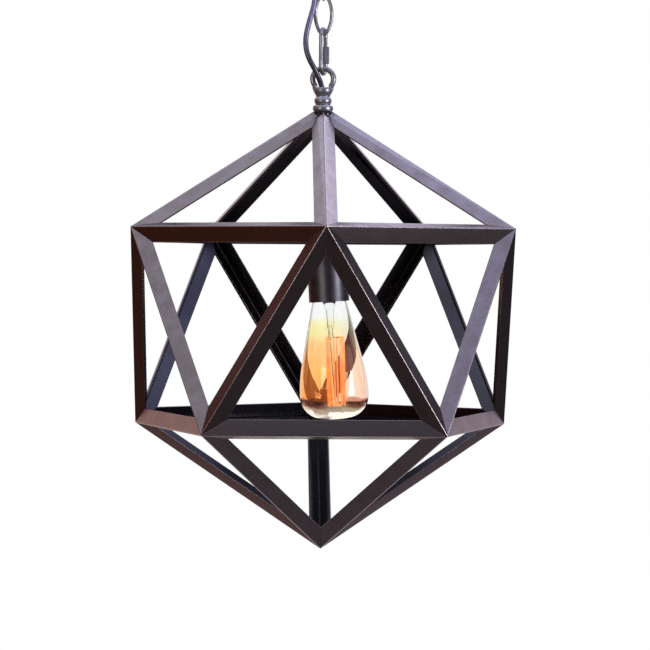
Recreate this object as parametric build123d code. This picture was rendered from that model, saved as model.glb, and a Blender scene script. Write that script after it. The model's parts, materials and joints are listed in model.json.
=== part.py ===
from build123d import *
import os
from math import acos, atan2, cos, degrees, pi, radians, sin, sqrt, tan

# Caged pendant lamp on a short chain, in millimetres
# Origin: centre of the mounting strap's upper face, against the ceiling. +Z is up and -Y is the front.

# Mounting strap on the ceiling box
STRAP_L = 104.0
STRAP_W = 20.0
STRAP_T = 2.5
STRAP_CORNER_R = 4.0
SLOT_SPACING = 79.4
SLOT_L = 16.0
SLOT_W = 4.8
GROUND_SCREW_X = 20.0
GROUND_SCREW_R = 1.7
GROUND_HEAD_R = 4.0
GROUND_HEAD_H = 2.6
GROUND_SLOT_W = 0.9

# Hollow threaded pipe, used for the canopy nipple and for the lamp's stem
PIPE_R = 5.0
PIPE_BORE_R = 3.6
PIPE_THREAD_GAP = 0.05
PIPE_NUT_FLAT = 14.0
PIPE_NUT_H = 4.0
PIPE_NUT_CHAMFER = 0.6

# Ceiling canopy, its collar ring and the threaded loop that carries the chain
CANOPY_R = 63.5
CANOPY_DEPTH = 27.0
CANOPY_WALL = 1.0
CANOPY_LIP = 4.0
CANOPY_HOLE_R = 13.5
COLLAR_R = 18.0
COLLAR_H = 8.0
COLLAR_EDGE_R = 2.0
COLLAR_THREAD_GAP = 0.25
BARREL_R = 12.5
BARREL_ABOVE_CANOPY = 6.0
BARREL_BELOW_COLLAR = 2.0
BARREL_THREAD_DEPTH = 9.0
BARREL_CHAMFER = 0.8
NIPPLE_END_GAP = 1.0
LOOP_ROD_R = 2.5
LOOP_CENTRE_R = 9.4
LOOP_SINK = 3.2
WIRE_HOLE_X = -6.6
WIRE_HOLE_Y = -5.4
WIRE_HOLE_R = 3.0

# Chain of three oval links, each hung in the one above it
LINK_L = 38.4
LINK_W = 18.6
LINK_WIRE_R = 1.65
LINK_END_R = 4.6
LINK_COUNT = 3
HANG_GAP = 0.3

# Quick link with its threaded sleeve, turned about the vertical as it hangs
QUICK_L = 45.5
QUICK_W = 18.0
QUICK_ROD_R = 2.0
QUICK_TURN = 71.7
QUICK_MOUTH = 7.0
SLEEVE_L = 16.0
SLEEVE_FLAT = 6.4
SLEEVE_BORE_GAP = 0.2
SLEEVE_LOW = 9.6
SLEEVE_CHAMFER = 0.5

# Lamp loop: ring, wire funnel and neck in one casting, on a separate neck ring
RING_ROD_R = 2.55
RING_CENTRE_R = 9.7
FUNNEL_DROP = 7.9
FUNNEL_H = 8.0
FUNNEL_TOP_R = 8.75
FUNNEL_FOOT_R = 6.65
FUNNEL_LIP = 1.5
FUNNEL_MOUTH_R = 6.7
FUNNEL_DISH_H = 6.8
WIRE_BORE_R = 2.9
NECK_GROOVE_H = 1.4
NECK_GROOVE_R = 6.5
NECK_BEAD_R = 8.15
NECK_BEAD_H = 6.1
NECK_FOOT_H = 0.7
NECK_FOOT_R = 6.9
NECK_THREAD_DEPTH = 5.6
NECK_RING_R = 9.55
NECK_RING_H = 6.7
BEAD_ROUND = 0.42

# Cage: a regular icosahedron of mitred angle iron, point down
EDGE = 218.0
FLANGE = 15.0
IRON_T = 2.0
RIDGE_R = 1.0
ROOT_R = 1.5
APEX_CUT = 6.7
HUB_R = 8.0
HUB_H = 22.6
HUB_CHAMFER = 1.0
WELD_GAP = 0.05

# Stem: it leaves the hub straight down, bends once and leans to the right
STEM_BEND_DROP = 63.6
STEM_BEND_R = 60.0
STEM_LEAN = 3.5
HOLDER_DROP = 113.0

# Lampholder, measured up its own axis from the cup's mouth
CUP_R = 18.75
CUP_H = 48.0
CUP_WALL = 0.8
CUP_SHOULDER_R = 5.0
BODY_R = 17.0
BODY_ABOVE_CAP = 0.4
BODY_ROOF_H = 6.0
BOSS_R = 8.5
BOSS_H = 5.2
BOSS_THREAD_DEPTH = 4.0
SHELL_R = 13.85
SHELL_T = 0.4
SHELL_LIP = 1.0
SHELL_TOP_GAP = 2.0
FIT_GAP = 0.1
TERMINAL_X = 12.4
TERMINAL_SLOT_W = 0.8
TERMINAL_HEAD_R = 2.6
TERMINAL_HEAD_H = 2.0
TERMINAL_SHANK_R = 1.5
TERMINAL_DEPTH = 4.0
TONGUE_W = 6.0
TONGUE_T = 0.5
TONGUE_REACH = 9.0
TONGUE_DROP = 1.3
TONGUE_GAP = 0.3

# Bulb, measured up and down the same axis from the foot of its cap
CAP_R = 13.1
CAP_T = 0.3
CAP_H = 21.9
INSULATOR_TOP_R = 6.0
INSULATOR_H = 2.7
INSULATOR_BEAD_H = 2.0
TIP_R = 4.8
TIP_H = 1.2
TIP_ROUND = 0.8
GLASS_R = 32.1
GLASS_WIDEST = 96.6
GLASS_BOTTOM = 118.6
GLASS_T = 0.9
GLASS_SIDE_R = 141.0
GLASS_SHOULDER_R = 21.0
GLASS_CONE = 12.7
GLASS_NECK_R = 12.4
GLASS_NECK_TOP = 7.4
GLASS_NECK_FOOT = -0.1
GLASS_FLARE_H = 1.5
FLARE_RIM_H = 2.0
PRESS_R = 3.4
PRESS_TOP = -16.6
PRESS_FOOT = -32.6
ROD_R = 1.6
BUTTON_R = 2.6
FILAMENT_RUNS = 8
FILAMENT_R = 8.0
FILAMENT_WIRE_R = 0.3
FILAMENT_TOP = -44.6
FILAMENT_FOOT = -104.6
FILAMENT_CORNER_R = 1.5
HOOK_WIRE_R = 0.25
LEAD_LAP = 2.0

# Supply cord
CORD_R = 2.5
CORD_TAIL_TOP = -15.0
CORD_INTO_BORE = 8.0
LEAD_CLEAR = 1.0

# Levels that follow from the sizes above, from the ceiling down
collar_top = -CANOPY_DEPTH
collar_foot = collar_top - COLLAR_H
barrel_top = collar_top + BARREL_ABOVE_CANOPY
barrel_foot = collar_foot - BARREL_BELOW_COLLAR
loop_centre = barrel_foot + LOOP_SINK - LOOP_CENTRE_R - LOOP_ROD_R
loop_rod = loop_centre - LOOP_CENTRE_R
link_pitch = LINK_L - 4 * LINK_WIRE_R - HANG_GAP
top_link_high = loop_rod + LOOP_ROD_R + LINK_WIRE_R + HANG_GAP
top_link_centre = top_link_high + LINK_WIRE_R - LINK_L / 2
link_centres = [top_link_centre - i * link_pitch for i in range(LINK_COUNT)]
last_link_rod = link_centres[-1] - LINK_L / 2 + LINK_WIRE_R
quick_high = last_link_rod + LINK_WIRE_R + QUICK_ROD_R + HANG_GAP
quick_low = quick_high - QUICK_L + 2 * QUICK_ROD_R
ring_high = quick_low + QUICK_ROD_R + RING_ROD_R + HANG_GAP
ring_centre = ring_high - RING_CENTRE_R
funnel_top = ring_centre - FUNNEL_DROP
funnel_foot = funnel_top - FUNNEL_H
bead_top = funnel_foot - NECK_GROOVE_H
bead_foot = bead_top - NECK_BEAD_H
neck_foot = bead_foot - NECK_FOOT_H
hub_top = neck_foot - NECK_RING_H
hub_foot = hub_top - HUB_H
golden = (1 + sqrt(5)) / 2
corner_reach = EDGE * sqrt(golden * sqrt(5)) / 2
edge_reach = EDGE * golden / 2
cage_centre = hub_top + APEX_CUT - corner_reach
stem_top = neck_foot + NECK_THREAD_DEPTH
stem_bend = hub_top - STEM_BEND_DROP
body_top = CUP_H - CUP_WALL - BOSS_H
body_floor = body_top - BODY_ROOF_H
boss_thread = body_top - BOSS_THREAD_DEPTH
tip_top = body_floor - TONGUE_DROP - TONGUE_GAP
cap_foot = tip_top - TIP_H - INSULATOR_H - CAP_H
body_foot = cap_foot + BODY_ABOVE_CAP


def tube(r_out, r_in, low, high):
    """A straight tube about Z between two levels."""
    wall = Circle(r_out) - Circle(r_in)
    return extrude(Pos(0, 0, low) * wall, amount=high - low)


def disc(r, low, high):
    """A round bar about Z between two levels."""
    return extrude(Pos(0, 0, low) * Circle(r), amount=high - low)


def turned(*edges):
    """A solid turned about Z from a closed outline of edges in radius and height."""
    return revolve(Plane.XZ * make_face(Curve() + list(edges)), Axis.Z)


def hex_nut(flat, low, high, bore_r, chamfer_size=PIPE_NUT_CHAMFER):
    """A hexagon nut about Z, its two ends turned to a chamfer, with a plain bore."""
    corner_r = flat / sqrt(3)
    blank = extrude(Pos(0, 0, low) * RegularPolygon(corner_r, 6), amount=high - low)
    cone = chamfer(disc(corner_r, low, high).edges().filter_by(GeomType.CIRCLE), chamfer_size)
    return (blank & cone) - disc(bore_r, low - 1, high + 1)


def rod_along(path, r):
    """A round rod of radius r swept along a path."""
    return sweep(Plane(path @ 0, z_dir=path % 0) * Circle(r), path=path)


# Ceiling fitting
def make_strap():
    """A flat steel strap with a threaded centre hole and two slots for the box screws."""
    plate = RectangleRounded(STRAP_L, STRAP_W, STRAP_CORNER_R)
    plate -= Circle(PIPE_R + PIPE_THREAD_GAP)
    plate -= Pos(GROUND_SCREW_X, 0) * Circle(GROUND_SCREW_R + PIPE_THREAD_GAP)
    for side in (-1, 1):
        plate -= Pos(side * SLOT_SPACING / 2, 0) * SlotOverall(SLOT_L, SLOT_W)
    return extrude(plate, amount=-STRAP_T)


def make_ground_screw():
    """Pan-headed earth screw, its head under the strap."""
    head = disc(GROUND_HEAD_R, -STRAP_T - GROUND_HEAD_H, -STRAP_T)
    head = fillet(head.edges().group_by(Axis.Z)[0], GROUND_HEAD_H / 2)
    head -= Pos(0, 0, -STRAP_T - GROUND_HEAD_H) * Box(2 * GROUND_HEAD_R, GROUND_SLOT_W, GROUND_HEAD_H)
    shank = disc(GROUND_SCREW_R, -STRAP_T, 0)
    return Pos(GROUND_SCREW_X, 0) * (head + shank)


def make_canopy_loop():
    """The threaded barrel that the collar ring screws on, with the chain's loop cast below it."""
    barrel = disc(BARREL_R, barrel_foot, barrel_top)
    barrel = chamfer(barrel.edges().group_by(Axis.Z)[0], BARREL_CHAMFER)
    eye = Pos(0, 0, loop_centre) * Rot(0, 90, 0) * Torus(LOOP_CENTRE_R, LOOP_ROD_R)
    bore = disc(PIPE_R + PIPE_THREAD_GAP, barrel_top - BARREL_THREAD_DEPTH, barrel_top)
    wire_hole = Pos(WIRE_HOLE_X, WIRE_HOLE_Y) * disc(WIRE_HOLE_R, barrel_foot, barrel_top)
    return barrel + eye - bore - wire_hole


def make_canopy():
    """A spun steel pan, its rim against the ceiling and a hole for the barrel."""
    bend_r = CANOPY_DEPTH - CANOPY_LIP
    bend_x = CANOPY_R - bend_r
    inner_r = CANOPY_R - CANOPY_WALL
    inner_bend = bend_r - CANOPY_WALL
    floor = CANOPY_WALL - CANOPY_DEPTH
    return turned(
        Line((CANOPY_R, 0), (CANOPY_R, -CANOPY_LIP)),
        CenterArc((bend_x, -CANOPY_LIP), bend_r, 0, -90),
        Line((bend_x, -CANOPY_DEPTH), (CANOPY_HOLE_R, -CANOPY_DEPTH)),
        Line((CANOPY_HOLE_R, -CANOPY_DEPTH), (CANOPY_HOLE_R, floor)),
        Line((CANOPY_HOLE_R, floor), (bend_x, floor)),
        CenterArc((bend_x, -CANOPY_LIP), inner_bend, -90, 90),
        Line((inner_r, -CANOPY_LIP), (inner_r, 0)),
        Line((inner_r, 0), (CANOPY_R, 0)),
    )


def make_collar_ring():
    """The round nut that holds the canopy up, rounded on its lower outer edge."""
    ring = tube(COLLAR_R, BARREL_R + COLLAR_THREAD_GAP, collar_foot, collar_top)
    outer = ring.edges().filter_by(GeomType.CIRCLE).group_by(Axis.Z)[0].sort_by(SortBy.RADIUS)[-1]
    return fillet(outer, COLLAR_EDGE_R)


# Chain and quick link
def oval_path(length, width, end_r):
    """The centre line of an oval link in the XZ plane: two end arcs and two flatter side arcs."""
    a = width / 2
    b = length / 2
    end_z = b - end_r
    side_r = (end_z**2 + a**2 - end_r**2) / (2 * (a - end_r))
    turn = degrees(atan2(end_z, side_r - a))
    arcs = Curve() + [
        CenterArc((0, end_z), end_r, turn, 180 - 2 * turn),
        CenterArc((side_r - a, 0), side_r, 180 - turn, 2 * turn),
        CenterArc((0, -end_z), end_r, 180 + turn, 180 - 2 * turn),
        CenterArc((a - side_r, 0), side_r, -turn, 2 * turn),
    ]
    return Plane.XZ * arcs


def make_link():
    """One oval chain link about its own centre, in the XZ plane."""
    path = oval_path(LINK_L - 2 * LINK_WIRE_R, LINK_W - 2 * LINK_WIRE_R, LINK_END_R)
    return rod_along(Wire(path.edges()), LINK_WIRE_R)


def quick_leg_offset():
    """Half the distance between the centres of the quick link's two legs."""
    return QUICK_W / 2 - QUICK_ROD_R


def make_quick_link():
    """A long oval of round bar, open at a mouth in its right leg that the sleeve closes."""
    leg = quick_leg_offset()
    path = Plane.XZ * (
        Curve()
        + [
            CenterArc((0, quick_high - leg), leg, 0, 180),
            Line((-leg, quick_high - leg), (-leg, quick_low + leg)),
            CenterArc((0, quick_low + leg), leg, 180, 180),
            Line((leg, quick_low + leg), (leg, quick_high - leg)),
        ]
    )
    bar = rod_along(Wire(path.edges()), QUICK_ROD_R)
    mouth_centre = quick_low + SLEEVE_LOW + SLEEVE_L / 2
    bar -= Pos(leg, 0, mouth_centre) * Box(4 * QUICK_ROD_R, 4 * QUICK_ROD_R, QUICK_MOUTH)
    return Rot(0, 0, QUICK_TURN) * bar


def make_sleeve():
    """The long hexagon nut on the quick link's right leg."""
    low = quick_low + SLEEVE_LOW
    nut = hex_nut(SLEEVE_FLAT, low, low + SLEEVE_L, QUICK_ROD_R + SLEEVE_BORE_GAP, SLEEVE_CHAMFER)
    return Rot(0, 0, QUICK_TURN) * Pos(quick_leg_offset(), 0) * nut


# Lamp loop
def make_lamp_loop():
    """Ring, wire funnel and neck bead in one casting, bored for the cord and threaded for the stem."""
    funnel = turned(
        Line((0, funnel_top), (FUNNEL_TOP_R - FUNNEL_LIP, funnel_top)),
        Line((FUNNEL_TOP_R - FUNNEL_LIP, funnel_top), (FUNNEL_TOP_R, funnel_top - FUNNEL_LIP)),
        Line((FUNNEL_TOP_R, funnel_top - FUNNEL_LIP), (FUNNEL_FOOT_R, funnel_foot)),
        Line((FUNNEL_FOOT_R, funnel_foot), (0, funnel_foot)),
        Line((0, funnel_foot), (0, funnel_top)),
    )
    neck = disc(NECK_GROOVE_R, bead_top, funnel_foot) + disc(NECK_FOOT_R, neck_foot, bead_foot)
    bead = fillet(disc(NECK_BEAD_R, bead_foot, bead_top).edges().filter_by(GeomType.CIRCLE), BEAD_ROUND * NECK_BEAD_H)
    ring = Pos(0, 0, ring_centre) * Rot(90, 0, 0) * Torus(RING_CENTRE_R, RING_ROD_R)
    dish_foot = funnel_top - FUNNEL_DISH_H
    over = funnel_top + RING_ROD_R
    dish = turned(
        Line((0, over), (FUNNEL_MOUTH_R, over)),
        Line((FUNNEL_MOUTH_R, over), (FUNNEL_MOUTH_R, funnel_top)),
        Line((FUNNEL_MOUTH_R, funnel_top), (WIRE_BORE_R, dish_foot)),
        Line((WIRE_BORE_R, dish_foot), (0, dish_foot)),
        Line((0, dish_foot), (0, over)),
    )
    wire_bore = disc(WIRE_BORE_R, neck_foot - 1, funnel_top)
    thread = disc(PIPE_R + PIPE_THREAD_GAP, neck_foot - 1, stem_top)
    return funnel + neck + bead + ring - dish - wire_bore - thread


def make_neck_ring():
    """The turned ring between the lamp loop and the cage's hub."""
    ring = tube(NECK_RING_R, PIPE_R + PIPE_THREAD_GAP, hub_top, neck_foot)
    outer = ring.edges().filter_by(GeomType.CIRCLE).filter_by(lambda e: e.radius > PIPE_R + 1)
    return fillet(outer, BEAD_ROUND * NECK_RING_H)


# Cage
def ring_corner(number, upper):
    """One of the ten side corners of the icosahedron, counted from the front anticlockwise."""
    turn = radians(-90 + 72 * number + (0 if upper else 36))
    reach = 2 * corner_reach / sqrt(5)
    height = corner_reach / sqrt(5)
    return Vector(reach * cos(turn), reach * sin(turn), height if upper else -height)


def make_mitre_pyramid():
    """The four planes through the cage's centre that every strut end is mitred to, as one solid."""
    half_angle = acos(-sqrt(5) / 3) / 2
    face_drop = EDGE / sqrt(12)
    side = face_drop * sin(half_angle)
    side_z = edge_reach - face_drop * cos(half_angle)
    grow = 1.2
    rim = [
        Vector(-EDGE / 2, 0, edge_reach) * grow,
        Vector(0, -side, side_z) * grow,
        Vector(EDGE / 2, 0, edge_reach) * grow,
        Vector(0, side, side_z) * grow,
    ]
    tip = Vector(0, 0, 0)
    faces = [Face(Wire.make_polygon([tip, rim[i], rim[(i + 1) % 4]])) for i in range(4)]
    faces.append(Face(Wire.make_polygon([rim[0], rim[1], rim[3]])))
    faces.append(Face(Wire.make_polygon([rim[1], rim[2], rim[3]])))
    return Solid(Shell(faces))


def make_angle_iron():
    """One strut, its ridge along X above the cage's centre and both ends mitred."""
    leg = FLANGE / sqrt(2)
    toe = IRON_T / sqrt(2)
    section = make_face(
        Polyline(
            (0, 0),
            (leg, -leg),
            (leg - toe, -leg - toe),
            (0, -2 * toe),
            (toe - leg, -leg - toe),
            (-leg, -leg),
            close=True,
        )
    )
    middle = [v for v in section.vertices() if abs(v.X) < toe / 10]
    section = fillet(max(middle, key=lambda v: v.Y), RIDGE_R)
    root = min((v for v in section.vertices() if abs(v.X) < toe / 10), key=lambda v: v.Y)
    section = fillet(root, ROOT_R)
    bar = extrude(Plane.YZ * Pos(0, edge_reach) * section, amount=EDGE, both=True)
    return bar & make_mitre_pyramid()


def make_cage():
    """All thirty struts by name, each the same piece set along its own edge."""
    top = Vector(0, 0, corner_reach)
    bottom = Vector(0, 0, -corner_reach)
    edges = {}
    for i in range(5):
        upper = ring_corner(i, True)
        lower = ring_corner(i, False)
        edges[f"crown_strut_{i + 1}"] = (top, upper)
        edges[f"upper_ring_strut_{i + 1}"] = (upper, ring_corner(i + 1, True))
        edges[f"waist_strut_{2 * i + 1:02d}"] = (upper, lower)
        edges[f"waist_strut_{2 * i + 2:02d}"] = (lower, ring_corner(i + 1, True))
        edges[f"lower_ring_strut_{i + 1}"] = (lower, ring_corner(i + 1, False))
        edges[f"keel_strut_{i + 1}"] = (bottom, lower)
    iron = make_angle_iron()
    above = corner_reach - APEX_CUT
    trim = disc(HUB_R + WELD_GAP, above - 2 * HUB_H, above + 1) + disc(3 * FLANGE, above, above + 3 * FLANGE)
    cage = {}
    for name, (start, end) in edges.items():
        strut = Plane(origin=(0, 0, 0), x_dir=end - start, z_dir=start + end) * iron
        if name.startswith("crown"):
            strut = strut - trim
        cage[name] = Pos(0, 0, cage_centre) * strut
    return cage


def make_hub():
    """The turned bush that the five crown struts are welded round, threaded for the stem."""
    hub = tube(HUB_R, PIPE_R + PIPE_THREAD_GAP, hub_foot, hub_top)
    outer = hub.edges().filter_by(GeomType.CIRCLE).group_by(Axis.Z)[0].sort_by(SortBy.RADIUS)[-1]
    return chamfer(outer, HUB_CHAMFER)


# Stem
holder = Pos(0, 0, stem_bend) * Rot(0, -STEM_LEAN, 0) * Pos(0, 0, -HOLDER_DROP)


def stem_path(top, foot_height):
    """The stem's centre line from a level down to a height above the cup's mouth."""
    foot = (holder * Pos(0, 0, foot_height)).position
    return FilletPolyline((0, 0, top), (0, 0, stem_bend), foot, radius=STEM_BEND_R)


def make_stem():
    """The hollow stem from the lamp loop's neck to the lampholder's boss."""
    path = stem_path(stem_top, boss_thread)
    return rod_along(path, PIPE_R) - rod_along(path, PIPE_BORE_R)


def make_stem_nuts():
    """A locking nut under the hub and another on top of the cup."""
    bore = PIPE_R + PIPE_THREAD_GAP
    under_hub = hex_nut(PIPE_NUT_FLAT, hub_foot - PIPE_NUT_H, hub_foot, bore)
    on_cup = holder * hex_nut(PIPE_NUT_FLAT, CUP_H, CUP_H + PIPE_NUT_H, bore)
    return Compound([*under_hub.solids(), *on_cup.solids()])


# Lampholder
def make_cup():
    """The drawn steel cup with a round shoulder and a hole for the stem."""
    inner_r = CUP_R - CUP_WALL
    inner_top = CUP_H - CUP_WALL
    bend = CUP_SHOULDER_R
    hole = PIPE_R + PIPE_THREAD_GAP
    cup = turned(
        Line((inner_r, 0), (CUP_R, 0)),
        Line((CUP_R, 0), (CUP_R, CUP_H - bend)),
        CenterArc((CUP_R - bend, CUP_H - bend), bend, 0, 90),
        Line((CUP_R - bend, CUP_H), (hole, CUP_H)),
        Line((hole, CUP_H), (hole, inner_top)),
        Line((hole, inner_top), (CUP_R - bend, inner_top)),
        CenterArc((CUP_R - bend, CUP_H - bend), bend - CUP_WALL, 90, -90),
        Line((inner_r, CUP_H - bend), (inner_r, 0)),
    )
    return holder * cup


def make_socket_body():
    """The moulded insulator: a deep well for the screw shell under a boss for the stem."""
    body = disc(BODY_R, body_foot, body_top) + disc(BOSS_R, body_top, body_top + BOSS_H)
    body -= disc(SHELL_R + FIT_GAP, body_foot, body_floor)
    body -= disc(PIPE_R + PIPE_THREAD_GAP, boss_thread, body_top + BOSS_H)
    for side in (-1, 1):
        body -= Pos(side * TERMINAL_X, 0) * disc(TERMINAL_SHANK_R + FIT_GAP, body_top - TERMINAL_DEPTH, body_top)
    return holder * body


def make_socket_shell():
    """The brass screw shell, open below, with a rolled lip at its mouth."""
    shell = tube(SHELL_R, SHELL_R - SHELL_T, body_foot, body_floor - SHELL_TOP_GAP)
    lip = tube(SHELL_R + SHELL_LIP, SHELL_R - SHELL_T, body_foot - SHELL_LIP, body_foot)
    return holder * (shell + lip)


def make_socket_tongue():
    """The brass spring under the floor of the well, bent down to the bulb's tip contact."""
    touch = body_floor - TONGUE_DROP
    side = make_face(
        Polyline(
            (-TONGUE_REACH, body_floor),
            (-TONGUE_REACH, body_floor - TONGUE_T),
            (-TONGUE_REACH / 3, body_floor - TONGUE_T),
            (0, touch),
            (TONGUE_REACH / 3, touch),
            (TONGUE_REACH / 3, touch + TONGUE_T),
            (0, touch + TONGUE_T),
            (-TONGUE_REACH / 3, body_floor),
            close=True,
        )
    )
    return holder * extrude(Plane.XZ * side, amount=TONGUE_W / 2, both=True)


def make_terminal_screws():
    """The two wire terminals on top of the insulator."""
    screws = []
    for side in (-1, 1):
        head = disc(TERMINAL_HEAD_R, body_top, body_top + TERMINAL_HEAD_H)
        slot = Box(2 * TERMINAL_HEAD_R, TERMINAL_SLOT_W, TERMINAL_HEAD_H)
        head -= Pos(0, 0, body_top + TERMINAL_HEAD_H) * slot
        shank = disc(TERMINAL_SHANK_R, body_top - TERMINAL_DEPTH + FIT_GAP, body_top)
        screws += (holder * Pos(side * TERMINAL_X, 0) * (head + shank)).solids()
    return Compound(screws)


# Bulb
bulb = holder * Pos(0, 0, cap_foot)


def glass_outline(inset):
    """Edges from the neck to the axis at the bottom, moved inwards by the inset."""
    widest = GLASS_R - inset
    shoulder_r = GLASS_SHOULDER_R - inset
    side_r = GLASS_SIDE_R - inset
    side_x = GLASS_R - GLASS_SIDE_R
    cone = radians(GLASS_CONE)
    tangent = (side_x + side_r * cos(cone), -GLASS_WIDEST + side_r * sin(cone))
    neck_r = GLASS_NECK_R - inset
    cone_top = tangent[1] + (tangent[0] - neck_r) / tan(cone)
    cone_end = min(cone_top, GLASS_NECK_FOOT - GLASS_FLARE_H)
    cone_end_r = tangent[0] - (cone_end - tangent[1]) * tan(cone)
    reach = GLASS_R - GLASS_SHOULDER_R
    drop = GLASS_BOTTOM - GLASS_WIDEST
    bottom_r = (reach**2 + drop**2 - GLASS_SHOULDER_R**2) / (2 * (drop - GLASS_SHOULDER_R))
    bottom_z = bottom_r - GLASS_BOTTOM
    turn = degrees(atan2(bottom_z + GLASS_WIDEST, reach))
    return [
        Line((neck_r, GLASS_NECK_TOP), (neck_r, GLASS_NECK_FOOT)),
        Line((neck_r, GLASS_NECK_FOOT), (cone_end_r, cone_end)),
        Line((cone_end_r, cone_end), tangent),
        CenterArc((side_x, -GLASS_WIDEST), side_r, GLASS_CONE, -GLASS_CONE),
        CenterArc((reach, -GLASS_WIDEST), shoulder_r, 0, -turn),
        CenterArc((0, bottom_z), bottom_r - inset, -turn, turn - 90),
        Line((0, inset - GLASS_BOTTOM), (0, GLASS_NECK_TOP)),
        Line((0, GLASS_NECK_TOP), (neck_r, GLASS_NECK_TOP)),
    ]


def make_glass():
    """The blown envelope, open at the neck that the cap is cemented on."""
    return bulb * (turned(*glass_outline(0)) - turned(*glass_outline(GLASS_T)))


def make_cap():
    """The bulb's screw cap, a thin shell closed over at the top by its insulator."""
    cap = tube(CAP_R, GLASS_NECK_R + FIT_GAP, 0, GLASS_NECK_TOP)
    cap += tube(CAP_R, CAP_R - CAP_T, GLASS_NECK_TOP, CAP_H)
    return bulb * cap


def make_cap_insulator():
    """The black glass cone that carries the tip contact."""
    inner_r = CAP_R - CAP_T - FIT_GAP
    low = CAP_H - INSULATOR_BEAD_H
    high = CAP_H + INSULATOR_H
    cone = turned(
        Line((0, low), (inner_r, low)),
        Line((inner_r, low), (inner_r, CAP_H)),
        Line((inner_r, CAP_H), (INSULATOR_TOP_R, high)),
        Line((INSULATOR_TOP_R, high), (0, high)),
        Line((0, high), (0, low)),
    )
    return bulb * cone


def make_tip_contact():
    """The domed tip contact on the insulator."""
    low = CAP_H + INSULATOR_H
    tip = disc(TIP_R, low, low + TIP_H)
    return bulb * fillet(tip.edges().group_by(Axis.Z)[-1], TIP_ROUND * TIP_H)


def make_mount():
    """The glass stem inside the bulb: a flare sealed to the neck, the press and the centre rod."""
    flare_r = GLASS_NECK_R - GLASS_T - FIT_GAP
    mount = turned(
        Line((0, GLASS_NECK_TOP), (flare_r, GLASS_NECK_TOP)),
        Line((flare_r, GLASS_NECK_TOP), (flare_r, GLASS_NECK_TOP - FLARE_RIM_H)),
        Line((flare_r, GLASS_NECK_TOP - FLARE_RIM_H), (PRESS_R, PRESS_TOP)),
        Line((PRESS_R, PRESS_TOP), (PRESS_R, PRESS_FOOT)),
        Line((PRESS_R, PRESS_FOOT), (ROD_R, PRESS_FOOT - PRESS_R)),
        Line((ROD_R, PRESS_FOOT - PRESS_R), (ROD_R, FILAMENT_FOOT)),
        Line((ROD_R, FILAMENT_FOOT), (0, FILAMENT_FOOT)),
        Line((0, FILAMENT_FOOT), (0, GLASS_NECK_TOP)),
    )
    for level in (FILAMENT_TOP, FILAMENT_FOOT):
        mount += Pos(0, 0, level) * Sphere(BUTTON_R)
    return bulb * mount


def filament_points():
    """The corners of the squirrel cage filament, down and up round the centre rod."""
    points = []
    for i in range(FILAMENT_RUNS):
        turn = 2 * pi * (i + 0.5) / FILAMENT_RUNS
        x = FILAMENT_R * cos(turn)
        y = FILAMENT_R * sin(turn)
        ends = [(x, y, FILAMENT_TOP), (x, y, FILAMENT_FOOT)]
        points += ends if i % 2 == 0 else ends[::-1]
    return points


def make_filament():
    """The filament with its two lead wires and the hooks that hold it to the rod."""
    points = filament_points()
    wire = rod_along(FilletPolyline(*points, radius=FILAMENT_CORNER_R), FILAMENT_WIRE_R)
    beside_press = (PRESS_R + FILAMENT_WIRE_R + WELD_GAP) / FILAMENT_R
    for x, y, z in (points[0], points[-1]):
        lead = Line((x, y, z), (x * beside_press, y * beside_press, PRESS_FOOT + LEAD_LAP))
        wire += rod_along(lead, FILAMENT_WIRE_R)
    for i in range(1, FILAMENT_RUNS):
        turn = 2 * pi * i / FILAMENT_RUNS
        level = FILAMENT_FOOT if i % 2 else FILAMENT_TOP
        reach = FILAMENT_R * cos(pi / FILAMENT_RUNS)
        hook = Rot(0, 0, degrees(turn)) * Line((BUTTON_R + WELD_GAP, 0, level), (reach, 0, level))
        wire += rod_along(hook, HOOK_WIRE_R)
    return bulb * wire


# Supply cord
def cord_points():
    """The cord's route from inside the canopy, down the chain's front left, into the funnel."""
    return [
        (WIRE_HOLE_X, WIRE_HOLE_Y, CORD_TAIL_TOP),
        (WIRE_HOLE_X, WIRE_HOLE_Y, -32.0),
        (-7.4, -5.9, -49.0),
        (-7.2, -7.0, -64.0),
        (-8.4, -7.8, -79.0),
        (-8.4, -8.1, -96.0),
        (-7.7, -8.3, -110.0),
        (-8.8, -8.2, -123.0),
        (-12.2, -8.6, -134.6),
        (-15.2, -9.0, -145.6),
        (-16.8, -9.6, -155.6),
        (-16.0, -10.2, -165.6),
        (-12.8, -10.4, -174.6),
        (-8.4, -9.4, -182.1),
        (-4.6, -6.6, -189.6),
        (-1.5, -2.2, -197.1),
        (0, 0, -205.6),
        (0, 0, funnel_foot - CORD_INTO_BORE),
    ]


def cord_path():
    """The route with every corner rounded as far as its two runs allow."""
    points = [Vector(*p) for p in cord_points()]
    radii = []
    for before, here, after in zip(points, points[1:], points[2:]):
        first = here - before
        second = after - here
        half_turn = radians(first.get_angle(second)) / 2
        radii.append(0.45 * min(first.length, second.length) / tan(half_turn))
    print("cord radii in mm:", [round(r, 1) for r in radii])
    return FilletPolyline(*points, radius=radii)


def make_cord():
    """The free cord between the canopy and the lamp loop."""
    path = cord_path()
    cord = rod_along(path, CORD_R)
    print("cord length", round(path.length, 1), "volume ratio", round(cord.volume / (pi * CORD_R**2 * path.length), 4))
    return cord


def make_stem_lead():
    """The rest of the cord, held inside the stem."""
    return rod_along(stem_path(funnel_foot - CORD_INTO_BORE, boss_thread + LEAD_CLEAR), CORD_R)


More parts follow.
